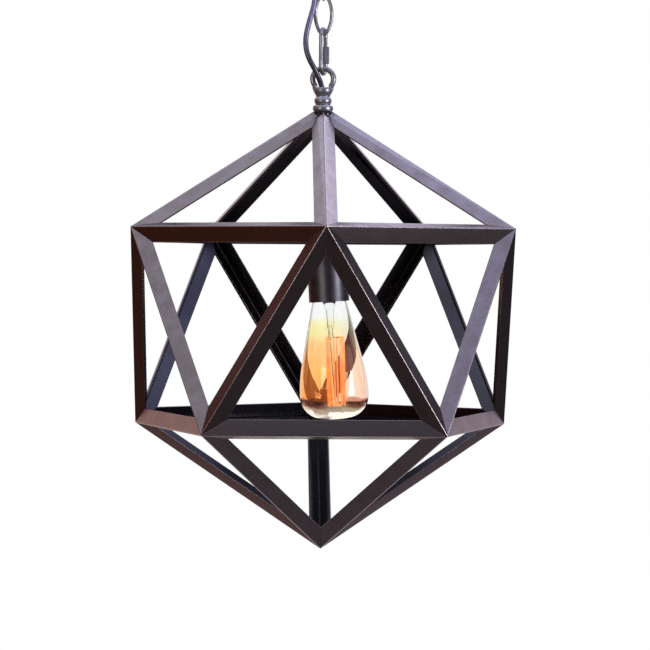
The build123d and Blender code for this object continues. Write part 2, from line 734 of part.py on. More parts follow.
link = make_link()
parts = {
    "mounting_strap": make_strap(),
    "ground_screw": make_ground_screw(),
    "canopy_nipple": tube(PIPE_R, PIPE_BORE_R, barrel_top - BARREL_THREAD_DEPTH + NIPPLE_END_GAP, 0),
    "canopy_nipple_nut": hex_nut(PIPE_NUT_FLAT, -STRAP_T - PIPE_NUT_H, -STRAP_T, PIPE_R + PIPE_THREAD_GAP),
    "canopy_loop": make_canopy_loop(),
    "ceiling_canopy": make_canopy(),
    "canopy_collar_ring": make_collar_ring(),
    "quick_link": make_quick_link(),
    "quick_link_sleeve": make_sleeve(),
    "lamp_loop": make_lamp_loop(),
    "neck_ring": make_neck_ring(),
    "apex_hub": make_hub(),
    "stem_tube": make_stem(),
    "stem_nuts": make_stem_nuts(),
    "socket_cup": make_cup(),
    "socket_body": make_socket_body(),
    "socket_shell": make_socket_shell(),
    "socket_tongue": make_socket_tongue(),
    "terminal_screws": make_terminal_screws(),
    "stem_lead": make_stem_lead(),
    "supply_cord": make_cord(),
    "bulb_glass": make_glass(),
    "bulb_cap": make_cap(),
    "bulb_cap_insulator": make_cap_insulator(),
    "bulb_tip_contact": make_tip_contact(),
    "bulb_mount": make_mount(),
    "bulb_filament": make_filament(),
}
for i, centre in enumerate(link_centres):
    quarter_turn = 90 * (i % 2)
    parts[f"chain_link_{LINK_COUNT - i}"] = Pos(0, 0, centre) * Rot(0, 0, quarter_turn) * link
parts.update(make_cage())

os.makedirs("parts", exist_ok=True)
for name, shape in parts.items():
    export_step(shape, f"parts/{name}.step")
print(len(parts), "nodes; cage centre at", round(cage_centre, 2), "ring centre at", round(ring_centre, 2))
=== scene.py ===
import json
import math

import bmesh
import bpy
from mathutils import Matrix, Vector

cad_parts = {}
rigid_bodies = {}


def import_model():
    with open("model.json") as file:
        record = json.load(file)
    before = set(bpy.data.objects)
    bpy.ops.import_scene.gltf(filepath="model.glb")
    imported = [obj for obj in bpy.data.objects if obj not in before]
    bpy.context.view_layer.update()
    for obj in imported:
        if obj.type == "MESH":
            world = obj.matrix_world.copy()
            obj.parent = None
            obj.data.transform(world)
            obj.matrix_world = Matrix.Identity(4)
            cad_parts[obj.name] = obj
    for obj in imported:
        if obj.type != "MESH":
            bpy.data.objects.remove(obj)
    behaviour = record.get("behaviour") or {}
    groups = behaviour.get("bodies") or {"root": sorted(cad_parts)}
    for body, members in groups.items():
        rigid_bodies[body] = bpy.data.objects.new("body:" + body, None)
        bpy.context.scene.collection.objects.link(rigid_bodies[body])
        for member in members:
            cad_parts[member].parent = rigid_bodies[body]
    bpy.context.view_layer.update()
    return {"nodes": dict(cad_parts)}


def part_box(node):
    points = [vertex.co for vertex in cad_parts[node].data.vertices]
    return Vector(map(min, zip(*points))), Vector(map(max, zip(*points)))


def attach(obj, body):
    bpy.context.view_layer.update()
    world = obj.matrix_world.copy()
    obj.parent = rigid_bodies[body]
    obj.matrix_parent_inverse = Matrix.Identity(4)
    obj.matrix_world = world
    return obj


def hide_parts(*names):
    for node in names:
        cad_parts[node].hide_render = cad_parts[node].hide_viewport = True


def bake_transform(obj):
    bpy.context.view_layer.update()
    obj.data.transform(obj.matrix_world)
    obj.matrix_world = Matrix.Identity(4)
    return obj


for thing in list(bpy.data.objects):
    bpy.data.objects.remove(thing)
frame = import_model()
nodes = frame["nodes"]

# The photographer's view
# A long lens a little above the middle of the cage and a hair to its left, held a third of a
# degree off plumb. The lamp itself hangs plumb, so the picture's lean belongs to the camera.
CAGE_CENTRE = Vector((0.0, 0.0, -0.42258))
STAND_OFF = 2.655
FOCAL_LENGTH_MM = 157.6
FILM_WIDTH_MM = 36.0
LOOK_DOWN = math.radians(1.308)
LOOK_FROM_LEFT = math.radians(-1.148)
CAMERA_ROLL = math.radians(0.342)
PICTURE = 650
PICTURE_MIDDLE = (321.66, 327.46)
towards_camera = Vector((0, -math.cos(LOOK_DOWN), math.sin(LOOK_DOWN)))
towards_camera.rotate(Matrix.Rotation(LOOK_FROM_LEFT, 3, "Z"))
lens = bpy.data.cameras.new("photo_lens")
lens.lens = FOCAL_LENGTH_MM
lens.sensor_width = FILM_WIDTH_MM
lens.shift_x = (PICTURE / 2 - PICTURE_MIDDLE[0]) / PICTURE
lens.shift_y = (PICTURE_MIDDLE[1] - PICTURE / 2) / PICTURE
camera = bpy.data.objects.new("photo_camera", lens)
bpy.context.scene.collection.objects.link(camera)
aim = (-towards_camera).to_track_quat("-Z", "Y").to_matrix() @ Matrix.Rotation(CAMERA_ROLL, 3, "Z")
camera.matrix_world = Matrix.Translation(CAGE_CENTRE + towards_camera * STAND_OFF) @ aim.to_4x4()
bpy.context.scene.camera = camera
bpy.context.scene.view_settings.view_transform = "Standard"


# Supply cord
# Round flexible cord in a smooth dark jacket, from the wire hole in the canopy loop's barrel down
# the chain's front left and into the wire funnel on the lamp loop. It is one cord, cut here only
# where the chain bends.
CORD_DIAMETER = 0.005
CORD_ROUTE = [
    (-0.0066, -0.0054, -0.0150),
    (-0.0066, -0.0054, -0.0320),
    (-0.0074, -0.0059, -0.0490),
    (-0.0072, -0.0070, -0.0640),
    (-0.0084, -0.0078, -0.0790),
    (-0.0084, -0.0081, -0.0960),
    (-0.0077, -0.0083, -0.1100),
    (-0.0088, -0.0082, -0.1230),
    (-0.0122, -0.0086, -0.1346),
    (-0.0152, -0.0090, -0.1456),
    (-0.0168, -0.0096, -0.1556),
    (-0.0160, -0.0102, -0.1656),
    (-0.0128, -0.0104, -0.1746),
    (-0.0084, -0.0094, -0.1821),
    (-0.0046, -0.0066, -0.1896),
    (-0.0015, -0.0022, -0.1971),
    (0.0, 0.0, -0.2056),
    (0.0, 0.0, -0.21505),
]
CORD_SIDES = 24
CORE_LAY = math.radians(28)
# Levels between which painted light turns the cord's jacket paler towards the ceiling
PAINTED_LIGHT_FULL_FROM = -0.135
PAINTED_LIGHT_START = -0.172
# Each length of cord: its lowest level, the bodies above and below its joint, and the levels
# between which it turns from the one to the other
CORD_LENGTHS = {
    "cord_at_canopy": (-0.0701, "ceiling_mount", "top_link", -0.0560, -0.0695),
    "cord_by_top_link": (-0.1011, "top_link", "middle_link", -0.07325, -0.09825),
    "cord_by_middle_link": (-0.1326, "middle_link", "bottom_link", -0.10475, -0.12975),
    "cord_by_bottom_link": (-0.1666, "bottom_link", "quick_link_body", -0.13625, -0.16125),
    "cord_into_funnel": (-1.0, "quick_link_body", "lamp", -0.1738, -0.1988),
}


def put(tree, kind, ins=(), **settings):
    """Adds a node to a tree, its inputs set to values or joined to other sockets."""
    node = tree.nodes.new(kind)
    for key, value in settings.items():
        setattr(node, key, value)
    for key, value in dict(ins).items():
        if isinstance(value, bpy.types.NodeSocket):
            tree.links.new(value, node.inputs[key])
        else:
            node.inputs[key].default_value = value
    return node


def get(tree, kind, ins=(), **settings):
    """Adds a node as put does and gives its first output."""
    return put(tree, kind, ins, **settings).outputs[0]


def new_finish(name, **constants):
    """A new material, its tree, its shader with these constants, and the object's coordinates."""
    material = bpy.data.materials.new(name)
    material.use_nodes = True
    tree = material.node_tree
    shader = tree.nodes["Principled BSDF"]
    for key, value in constants.items():
        shader.inputs[key.replace("_", " ")].default_value = value
    return material, tree, shader, put(tree, "ShaderNodeTexCoord").outputs["Object"]


def surface(tree, shader, **sockets):
    """Joins sockets to the surface shader's inputs of the same names."""
    for key, socket in sockets.items():
        tree.links.new(socket, shader.inputs[key.replace("_", " ")])


def xyz(tree, vector):
    """The three parts of a vector, by the names X, Y and Z."""
    return put(tree, "ShaderNodeSeparateXYZ", {0: vector}).outputs


def mix(tree, factor, first, second, blend="MIX"):
    """A colour between two others, or their product or sum."""
    ins = {"Factor": factor, 6: first, 7: second}
    return put(tree, "ShaderNodeMix", ins, data_type="RGBA", blend_type=blend).outputs[2]


def average(tree, first, second, share):
    """A number between two others, by the second one's share."""
    return get(tree, "ShaderNodeMix", {"Factor": share, 2: first, 3: second}, data_type="FLOAT")


def fade(tree, value, low, high, to_low=0.0, to_high=1.0, smooth=False):
    """Maps a value between two limits onto two others and holds it there beyond them."""
    ins = {"Value": value, "From Min": low, "From Max": high, "To Min": to_low, "To Max": to_high}
    kind = "SMOOTHSTEP" if smooth else "LINEAR"
    return get(tree, "ShaderNodeMapRange", ins, interpolation_type=kind)


def grain(tree, where, scale, detail=3.0, roughness=0.55, distortion=0.0):
    """Three-dimensional noise at a scale in cells per metre."""
    ins = {"Vector": where, "Scale": scale, "Detail": detail, "Roughness": roughness}
    return put(tree, "ShaderNodeTexNoise", {**ins, "Distortion": distortion}).outputs["Fac"]


def wave(tree, where, scale, distortion, **kind):
    """A pattern of waves, in straight bands where nothing else is said."""
    ins = {"Vector": where, "Scale": scale, "Distortion": distortion}
    return put(tree, "ShaderNodeTexWave", ins, **kind).outputs["Fac"]


def ramp(tree, value, *stops):
    """A colour ramp from stops of place and colour; a single number gives a grey."""
    node = put(tree, "ShaderNodeValToRGB", {"Fac": value})
    points = node.color_ramp.elements
    while len(points) < len(stops):
        points.new(0.5)
    for point, (place, colour) in zip(points, stops):
        point.position = place
        point.color = (*colour, 1) if isinstance(colour, tuple) else (colour, colour, colour, 1)
    return node.outputs["Color"]


def bump(tree, height, strength, depth):
    """A bump of a real depth in metres."""
    ins = {"Height": height, "Strength": strength, "Distance": depth}
    return get(tree, "ShaderNodeBump", ins)


def finished_mesh(name, work):
    """A mesh from the work done on its faces."""
    mesh = bpy.data.meshes.new(name)
    work.to_mesh(mesh)
    work.free()
    return mesh


def link_object(name, mesh):
    """An object at the origin for a finished mesh."""
    thing = bpy.data.objects.new(name, mesh)
    bpy.context.scene.collection.objects.link(thing)
    return thing


def cord_line():
    """The cord's smooth line through its route, as points in order."""
    curve = bpy.data.curves.new("cord_line", "CURVE")
    curve.dimensions = "3D"
    curve.resolution_u = 14
    spline = curve.splines.new("NURBS")
    spline.points.add(len(CORD_ROUTE) - 1)
    for point, place in zip(spline.points, CORD_ROUTE):
        point.co = (*place, 1)
    spline.order_u = 3
    spline.use_endpoint_u = True
    holder = link_object("cord_line", curve)
    bpy.context.view_layer.update()
    mesh = bpy.data.meshes.new_from_object(holder)
    points = [v.co.copy() for v in mesh.vertices]
    bpy.data.objects.remove(holder)
    bpy.data.meshes.remove(mesh)
    return points


def round_tube(name, line, radius, sides):
    """A closed round tube along a line, with a UV map that runs round it and along it in metres."""
    work = bmesh.new()
    uv = work.loops.layers.uv.new("UVMap")
    rings = []
    run = [0.0]
    across = Vector((0, 1, 0))
    for i, here in enumerate(line):
        ahead = (line[min(i + 1, len(line) - 1)] - line[max(i - 1, 0)]).normalized()
        across = (across - ahead * across.dot(ahead)).normalized()
        side = ahead.cross(across)
        turns = [2 * math.pi * k / sides for k in range(sides)]
        spokes = [across * math.cos(t) + side * math.sin(t) for t in turns]
        rings.append([work.verts.new(here + spoke * radius) for spoke in spokes])
        if i:
            run.append(run[-1] + (here - line[i - 1]).length)
    for i, (low, high) in enumerate(zip(rings, rings[1:])):
        for k in range(sides):
            face = work.faces.new((low[k], low[(k + 1) % sides], high[(k + 1) % sides], high[k]))
            face.smooth = True
            for loop, (u, v) in zip(face.loops, ((k, i), (k + 1, i), (k + 1, i + 1), (k, i + 1))):
                loop[uv].uv = (u / sides * 2 * math.pi * radius, run[v])
    work.faces.new(reversed(rings[0]))
    work.faces.new(rings[-1])
    bmesh.ops.recalc_face_normals(work, faces=work.faces)
    return finished_mesh(name, work)


def cord_jacket():
    """Smooth dark jacket, painted light near the ceiling, the lay of its cores showing faintly."""
    coat = {"Coat_Weight": 1.0, "Coat_Roughness": 0.27, "Coat_IOR": 1.6}
    material, tree, shader, where = new_finish("cord_jacket", **coat)
    uv = get(tree, "ShaderNodeUVMap", uv_map="UVMap")
    lay = get(tree, "ShaderNodeMapping", {"Vector": uv, "Rotation": (0, 0, CORE_LAY)})
    twist = wave(tree, lay, 60.0, 0.3)
    dust = grain(tree, where, 160.0, 4.0)
    fine = grain(tree, where, 2600.0, 2.0)
    level = xyz(tree, where)["Z"]
    # Painted light: the jacket is made paler violet above these levels, for the light on the upper
    # cord
    painted_light_share = fade(tree, level, PAINTED_LIGHT_START, PAINTED_LIGHT_FULL_FROM)
    jacket_tone = ramp(tree, dust, (0.3, (0.040, 0.036, 0.050)), (0.75, (0.066, 0.060, 0.082)))
    painted_light_tone = ramp(tree, dust, (0.3, (0.200, 0.186, 0.330)), (0.75, (0.285, 0.268, 0.450)))
    tone = mix(tree, painted_light_share, jacket_tone, painted_light_tone)
    relief = bump(tree, average(tree, twist, fine, 0.35), 0.22, 0.00012)
    dull = ramp(tree, dust, (0.3, 0.30), (0.8, 0.46))
    surface(tree, shader, Base_Color=tone, Roughness=dull, Normal=relief)
    return material


cord_finish = cord_jacket()
whole_line = cord_line()
start = 0
for name, (foot, above, below, bend_top, bend_foot) in CORD_LENGTHS.items():
    end = max(i for i, p in enumerate(whole_line) if p.z >= foot)
    line = whole_line[start : end + 1]
    start = end
    piece = link_object(name, round_tube(name, line, CORD_DIAMETER / 2, CORD_SIDES))
    piece.data.materials.append(cord_finish)
    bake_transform(piece)
    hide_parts("supply_cord")


# Ceiling fitting behind the canopy
# Zinc-plated strap, nipple and locknut, and a green earth screw, all bought steel parts.
# The strap is screwed to the ceiling box; the nipple screws through it and carries the canopy loop.
def zinc_plate():
    """Bright zinc with the cloudy patches and fine scratches of handled plating."""
    material, tree, shader, where = new_finish("zinc_steel", Metallic=1.0)
    cloud = grain(tree, where, 180.0, 4.0)
    stretched = get(tree, "ShaderNodeMapping", {"Vector": where, "Scale": (60, 2200, 2200)})
    scratch = grain(tree, stretched, 1.0, 2.0)
    tone = ramp(tree, cloud, (0.3, (0.42, 0.43, 0.44)), (0.7, (0.62, 0.62, 0.60)))
    dull = ramp(tree, cloud, (0.3, 0.44), (0.7, 0.28))
    relief = bump(tree, scratch, 0.35, 0.00006)
    surface(tree, shader, Base_Color=tone, Roughness=dull, Normal=relief)
    return material


def dress(material, *names):
    """Gives frame nodes their finish."""
    for place in [slot for name in names for slot in nodes[name].material_slots]:
        place.material = material


zinc = zinc_plate()
dress(zinc, "mounting_strap", "canopy_nipple", "canopy_nipple_nut")
green, tree, shader, where = new_finish("green_screw", Metallic=1.0, Roughness=0.34)
tone = ramp(tree, grain(tree, where, 400.0), (0.3, (0.05, 0.22, 0.09)), (0.7, (0.10, 0.34, 0.15)))
surface(tree, shader, Base_Color=tone)
dress(green, "ground_screw")


# Canopy
# Spun from 1 mm steel sheet and painted the same dark bronze as the lampholder cup.
# The collar ring, screwed on the barrel, holds it up against the ceiling.
def bronze_sheet():
    """Satin dark bronze paint over spun sheet, with the faint rings of the spinning tool."""
    material, tree, shader, where = new_finish("bronze_sheet", Metallic=1.0)
    patch = grain(tree, where, 45.0, 5.0, 0.6)
    fine = grain(tree, where, 900.0, 2.0)
    rings = wave(tree, where, 180.0, 0.4, wave_type="RINGS", rings_direction="Z")
    fine = average(tree, fine, rings, 0.5)
    tone = ramp(
        tree, patch,
        (0.32, (0.098, 0.090, 0.096)), (0.55, (0.130, 0.121, 0.131)),
        (0.78, (0.165, 0.152, 0.165)),
    )
    dull = ramp(tree, patch, (0.3, 0.34), (0.75, 0.46))
    relief = bump(tree, fine, 0.25, 0.00005)
    surface(tree, shader, Base_Color=tone, Roughness=dull, Normal=relief)
    return material


sheet_bronze = bronze_sheet()
dress(sheet_bronze, "ceiling_canopy")


# Collar ring and canopy loop
# Turned and cast zinc alloy, plated dark gunmetal and rubbed brighter where hands and links touch.
# The loop's barrel passes through the canopy, and the supply cord comes out of the wire hole in
# it, beside the eye.
def gunmetal(name, dark, mid, bright, roughness, metallic=1.0):
    """Dark plating, cloudy and rubbed through in places."""
    material, tree, shader, where = new_finish(name, Metallic=metallic)
    cloud = grain(tree, where, 130.0, 5.0, 0.62)
    pit = grain(tree, where, 1300.0, 3.0)
    tone = ramp(tree, cloud, (0.30, dark), (0.52, mid), (0.74, bright))
    dull = ramp(tree, cloud, (0.3, roughness + 0.1), (0.75, roughness - 0.06))
    relief = bump(tree, pit, 0.12, 0.00005)
    surface(tree, shader, Base_Color=tone, Roughness=dull, Normal=relief)
    return material


cast_gunmetal = gunmetal(
    "gunmetal", (0.265, 0.252, 0.257), (0.38, 0.362, 0.372), (0.50, 0.477, 0.490), 0.31, 0.7
)
dress(cast_gunmetal, "canopy_collar_ring", "canopy_loop")


# Chain links
# Each link is one length of 3.3 mm steel wire, bent to an oval and butt welded on one side, a
# little below its middle, where the weld stands proud. Three hang in each other, the middle one a
# quarter turn round.
LINK_LENGTH = 0.0384
LINK_WIDTH = 0.0186
LINK_WIRE = 0.00165
LINK_END_R = 0.0046
LINK_STEPS = 20
# The weld's place as a share of the wire's length
LINK_WELD = 0.75
LINK_CENTRES = {"chain_link_3": -0.0682, "chain_link_2": -0.0997, "chain_link_1": -0.1312}
LINK_BODIES = {
    "chain_link_3": "top_link",
    "chain_link_2": "middle_link",
    "chain_link_1": "bottom_link",
}


def new_tree(name, material, **inputs):
    """A geometry tree with named inputs, and their sockets inside it."""
    tree = bpy.data.node_groups.new(name, "GeometryNodeTree")
    tree.interface.new_socket("Geometry", in_out="INPUT", socket_type="NodeSocketGeometry")
    tree.interface.new_socket("Geometry", in_out="OUTPUT", socket_type="NodeSocketGeometry")
    for key, value in inputs.items():
        kind = "NodeSocket" + {int: "Int", float: "Float", tuple: "Vector"}[type(value)]
        socket = tree.interface.new_socket(key.replace("_", " "), in_out="INPUT", socket_type=kind)
        socket.default_value = value
    tree["finish"] = material
    return tree, put(tree, "NodeGroupInput").outputs


def end_tree(tree, geometry):
    """Closes a tree with Realize Instances, Set Material and the output."""
    whole = get(tree, "GeometryNodeRealizeInstances", {0: geometry})
    finish = tree["finish"]
    painted = get(tree, "GeometryNodeSetMaterial", {"Geometry": whole, "Material": finish})
    put(tree, "NodeGroupOutput", {0: painted})
    del tree["finish"]


def grow(name, tree, mesh, flat_sides=False, **inputs):
    """Runs a tree on a mesh with the inputs given and returns the result as a plain object."""
    seed = link_object(name + "_seed", mesh)
    modifier = seed.modifiers.new("grow", "NODES")
    modifier.node_group = tree
    for item in tree.interface.items_tree:
        if item.item_type == "SOCKET" and item.in_out == "INPUT":
            key = item.name.replace(" ", "_")
            if key in inputs:
                modifier[item.identifier] = inputs[key]
    if flat_sides:
        seed.modifiers.new("flat sides", "WEIGHTED_NORMAL").keep_sharp = True
    bpy.context.view_layer.update()
    graph = bpy.context.evaluated_depsgraph_get()
    grown = seed.evaluated_get(graph)
    keep = {"preserve_all_data_layers": True, "depsgraph": graph}
    result = bpy.data.meshes.new_from_object(grown, **keep)
    seed.modifiers.clear()
    bpy.data.objects.remove(seed)
    result.name = name
    return link_object(name, result)


def line_mesh(name, points, closed=False):
    """A mesh of nothing but edges along the points."""
    mesh = bpy.data.meshes.new(name)
    count = len(points)
    pairs = [(i, i + 1) for i in range(count - 1)] + ([(count - 1, 0)] if closed else [])
    mesh.from_pydata([tuple(p) for p in points], pairs, [])
    return mesh


def arc(centre, radius, start, sweep, steps):
    """Points in a plane along an arc, its first and last included."""
    turns = [math.radians(start + sweep * i / steps) for i in range(steps + 1)]
    return [(centre[0] + radius * math.cos(t), centre[1] + radius * math.sin(t)) for t in turns]


def oval(length, width, end_r):
    """The centre line of an oval link: two tight ends and two flatter sides."""
    a = width / 2
    b = length / 2
    end_z = b - end_r
    side_r = (end_z**2 + a**2 - end_r**2) / (2 * (a - end_r))
    turn = math.degrees(math.atan2(end_z, side_r - a))
    runs = [
        arc((0, end_z), end_r, turn, 180 - 2 * turn, LINK_STEPS),
        arc((side_r - a, 0), side_r, 180 - turn, 2 * turn, LINK_STEPS),
        arc((0, -end_z), end_r, 180 + turn, 180 - 2 * turn, LINK_STEPS),
        arc((a - side_r, 0), side_r, -turn, 2 * turn, LINK_STEPS),
    ]
    return [point for run in runs for point in run[:-1]]


def number(tree, operation, *ins):
    """The result of one sum on numbers."""
    return get(tree, "ShaderNodeMath", dict(enumerate(ins)), operation=operation)


def times(tree, first, second):
    """The product of two numbers."""
    return number(tree, "MULTIPLY", first, second)


def stepped(tree, curve, step):
    """The curve as points a step apart."""
    ins = {"Curve": curve, "Length": step}
    return get(tree, "GeometryNodeResampleCurve", ins, mode="LENGTH")


def end_round(tree, curve, sides, radius, size=1.0):
    """Sweeps a round section along the curve and closes the tree."""
    ring = get(tree, "GeometryNodeCurvePrimitiveCircle", {"Resolution": sides, "Radius": radius})
    swept = {"Curve": curve, "Profile Curve": ring, "Scale": size, "Fill Caps": True}
    rod = get(tree, "GeometryNodeCurveToMesh", swept)
    end_tree(tree, get(tree, "GeometryNodeSetShadeSmooth", {0: rod}))


def round_bar(name, finish):
    """A tree for round bar along a line, with the swell of a weld and a thread at its ends."""
    tree, g = new_tree(
        name,
        finish,
        Radius=LINK_WIRE,
        Sides=20,
        Step=0.0006,
        Weld_swell=0.0,
        Weld_length=0.004,
        Thread_pitch=0.0007,
        Thread_depth=0.0,
        Thread_from_start=0.0,
        Thread_from_end=0.0,
    )
    line = get(tree, "GeometryNodeMeshToCurve", {"Mesh": g["Geometry"]})
    line = stepped(tree, line, g["Step"])
    run = put(tree, "GeometryNodeSplineParameter").outputs["Length"]
    whole = put(tree, "GeometryNodeSplineLength").outputs["Length"]
    weld = times(tree, whole, LINK_WELD)
    from_weld = number(tree, "ABSOLUTE", number(tree, "SUBTRACT", run, weld))
    half_weld = times(tree, g["Weld length"], 0.5)
    swell = fade(tree, from_weld, half_weld, 0.0, 0.0, g["Weld swell"], smooth=True)
    near_start = number(tree, "LESS_THAN", run, g["Thread from start"])
    near_end = number(tree, "LESS_THAN", number(tree, "SUBTRACT", whole, run), g["Thread from end"])
    threaded = number(tree, "MAXIMUM", near_start, near_end)
    half_pitch = times(tree, g["Thread pitch"], 0.5)
    groove = number(tree, "DIVIDE", number(tree, "PINGPONG", run, half_pitch), half_pitch)
    cut = times(tree, times(tree, groove, g["Thread depth"]), threaded)
    cut = number(tree, "DIVIDE", cut, g["Radius"])
    size = number(tree, "SUBTRACT", number(tree, "ADD", swell, 1.0), cut)
    end_round(tree, line, g["Sides"], g["Radius"], size)
    return tree


chain_gunmetal = gunmetal(
    "gunmetal_chain", (0.28, 0.272, 0.28), (0.39, 0.378, 0.388), (0.50, 0.484, 0.494), 0.31, 0.8
)
link_bar = round_bar("link_bar", chain_gunmetal)
for i, (name, level) in enumerate(LINK_CENTRES.items()):
    loop = oval(LINK_LENGTH - 2 * LINK_WIRE, LINK_WIDTH - 2 * LINK_WIRE, LINK_END_R)
    facing = [(0, x, level + z) if i == 1 else (x, 0, level + z) for x, z in loop]
    piece = grow(name + "_wire", link_bar, line_mesh(name, facing, closed=True), Weld_swell=0.07)
    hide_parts(name)
    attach(piece, LINK_BODIES[name])


# Quick link and lamp loop
# The quick link is bent from 4 mm bar and closed by a long hexagon sleeve screwed over its gap.
# The lamp loop is one casting: ring, wire funnel and neck bead, screwed down on the stem over the
# neck ring.
QUICK_HIGH = -0.1448
QUICK_LOW = -0.1863
QUICK_LEG = 0.007
QUICK_ROD = 0.002
QUICK_STEPS = 40
QUICK_TURN = math.radians(71.7)
MOUTH_HIGH = 0.0211
MOUTH_LOW = 0.0141
THREAD_ABOVE = 0.0125
THREAD_BELOW = 0.0045
upper_bend = arc((0, QUICK_HIGH - QUICK_LEG), QUICK_LEG, 0, 180, QUICK_STEPS)
lower_bend = arc((0, QUICK_LOW + QUICK_LEG), QUICK_LEG, 180, 180, QUICK_STEPS)
over_gap = (QUICK_LEG, QUICK_LOW + MOUTH_HIGH)
under_gap = (QUICK_LEG, QUICK_LOW + MOUTH_LOW)
outline = [over_gap, *upper_bend, *lower_bend, under_gap]
hung = [(x * math.cos(QUICK_TURN), x * math.sin(QUICK_TURN), z) for x, z in outline]
piece = grow(
    "quick_link_bar",
    link_bar,
    line_mesh("quick_link_line", hung),
    Radius=QUICK_ROD,
    Step=0.000175,
    Thread_depth=0.00045,
    Thread_from_start=THREAD_ABOVE,
    Thread_from_end=THREAD_BELOW,
)
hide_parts("quick_link")
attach(piece, "quick_link_body")
dress(chain_gunmetal, "quick_link_sleeve")
dress(cast_gunmetal, "neck_ring", "apex_hub", "stem_nuts")
# The casting's outline in radius and level: wire dish, rolled lip, belly, groove, bead, foot and
# stem bore
LOOP_OUTLINE = [
    (0.0029, -0.2096), (0.0029, -0.2060), (0.0048, -0.2049), (0.0062, -0.2028),
    (0.0067, -0.1998), (0.0071, -0.1992), (0.0077, -0.19905), (0.0082, -0.1993),
    (0.0085, -0.2000), (0.0087, -0.2012), (0.00865, -0.2026), (0.0083, -0.2040),
    (0.0077, -0.2052), (0.0070, -0.2062), (0.0066, -0.20705), (0.0065, -0.2077),
    (0.0067, -0.2083), (0.0072, -0.2087), (0.0077, -0.2094), (0.0080, -0.2103),
    (0.00815, -0.2115), (0.0080, -0.2127), (0.0077, -0.2136), (0.0072, -0.2143),
    (0.0069, -0.2146), (0.0069, -0.21525), (0.0051, -0.21525), (0.0051, -0.2096),
]
# Its ring as the middles of a round rod, and each leg of it in x, level and the rod's radius, from
# the belly upwards
RING_ROD = 0.00255
RING_R = 0.0097
RING_LEVEL = -0.19115
RING_OPEN = 52
RING_STEPS = 64
ROD_SIDES = 28
RING_LEG = [
    (0.0072, -0.2042, 0.0008),
    (0.00735, -0.2030, 0.0014),
    (0.0075, -0.2014, 0.0019),
    (0.00758, -0.1994, 0.0023),
]
TURNED_SIDES = 72


def skin(work, rings):
    """Faces between each ring of points and the next."""
    for low, high in zip(rings, rings[1:]):
        for k in range(len(low)):
            after = (k + 1) % len(low)
            work.faces.new((low[k], low[after], high[after], high[k]))


def turned_piece(work, outline, sides):
    """Turns a closed outline of radius and level about the upright axis."""
    rings = []
    for radius, level in outline:
        turns = [2 * math.pi * k / sides for k in range(sides)]
        spokes = [(radius * math.cos(t), radius * math.sin(t)) for t in turns]
        rings.append([work.verts.new((*spoke, level)) for spoke in spokes])
    skin(work, rings + rings[:1])


def cast_rod(work, line, sides):
    """A closed rod along a line in the x and z plane, with its own radius at each point."""
    rings = []
    for i, (x, level, radius) in enumerate(line):
        before, after = line[max(i - 1, 0)], line[min(i + 1, len(line) - 1)]
        ahead = Vector((after[0] - before[0], 0, after[1] - before[1])).normalized()
        out = Vector((ahead.z, 0, -ahead.x))
        ring = []
        for k in range(sides):
            t = 2 * math.pi * k / sides
            spoke = out * math.cos(t) + Vector((0, math.sin(t), 0))
            ring.append(work.verts.new(Vector((x, 0, level)) + radius * spoke))
        rings.append(ring)
    skin(work, rings)
    work.faces.new(reversed(rings[0]))
    work.faces.new(rings[-1])


work = bmesh.new()
turned_piece(work, LOOP_OUTLINE, TURNED_SIDES)
bend = arc((0, 0), RING_R, RING_OPEN - 90, 360 - 2 * RING_OPEN, RING_STEPS)
ring = [(x, z + RING_LEVEL, RING_ROD) for x, z in bend]
legs = [(-x, z, r) for x, z, r in RING_LEG]
cast_rod(work, RING_LEG + ring + legs[::-1], ROD_SIDES)
bmesh.ops.recalc_face_normals(work, faces=work.faces)
for face in work.faces:
    face.smooth = True
casting = link_object("lamp_loop_casting", finished_mesh("lamp_loop_casting", work))
casting.data.materials.append(cast_gunmetal)
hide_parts("lamp_loop")
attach(casting, "lamp")


# Cage
# Thirty lengths of 15 mm angle iron, all alike, mitred to the planes through the cage's centre and
# welded corner to corner into an icosahedron, ridges outwards. Brushed with a bronze patina that
# is rubbed thin along the ridges, where a painted highlight also lightens them. Painted shade
# darkens the inside faces, the inside root of the angle and the crown's top by the axis.
EDGE = 0.218
FLANGE = 0.015
IRON = 0.002
RIDGE_R = 0.001
ROOT_R = 0.0015
TOE_R = 0.0005
SEAM = 0.00012
GOLDEN = (1 + math.sqrt(5)) / 2
CORNER_REACH = EDGE * math.sqrt(GOLDEN * math.sqrt(5)) / 2
RING_HEIGHT = CORNER_REACH / math.sqrt(5)
EDGE_REACH = EDGE * GOLDEN / 2
APEX_CUT = 0.0067
HUB_R = 0.008
HUB_WELD_GAP = 0.00005
HUB_SIDES = 64
CUTTER_SIZE = 0.2
# Share of the lighter ridge line: partly patina rubbed thin, partly painted highlight
RIDGE_WEAR_AND_HIGHLIGHT = 0.28
# Each group of struts: its nodes' names, how many, and how high their middles lie over the cage's
# centre
CAGE_GROUPS = {
    "crown_struts": ("crown_strut_{}", 5, (CORNER_REACH + RING_HEIGHT) / 2),
    "upper_ring": ("upper_ring_strut_{}", 5, RING_HEIGHT),
    "waist_struts": ("waist_strut_{:02d}", 10, 0.0),
    "lower_ring": ("lower_ring_strut_{}", 5, -RING_HEIGHT),
    "keel_struts": ("keel_strut_{}", 5, -(CORNER_REACH + RING_HEIGHT) / 2),
}


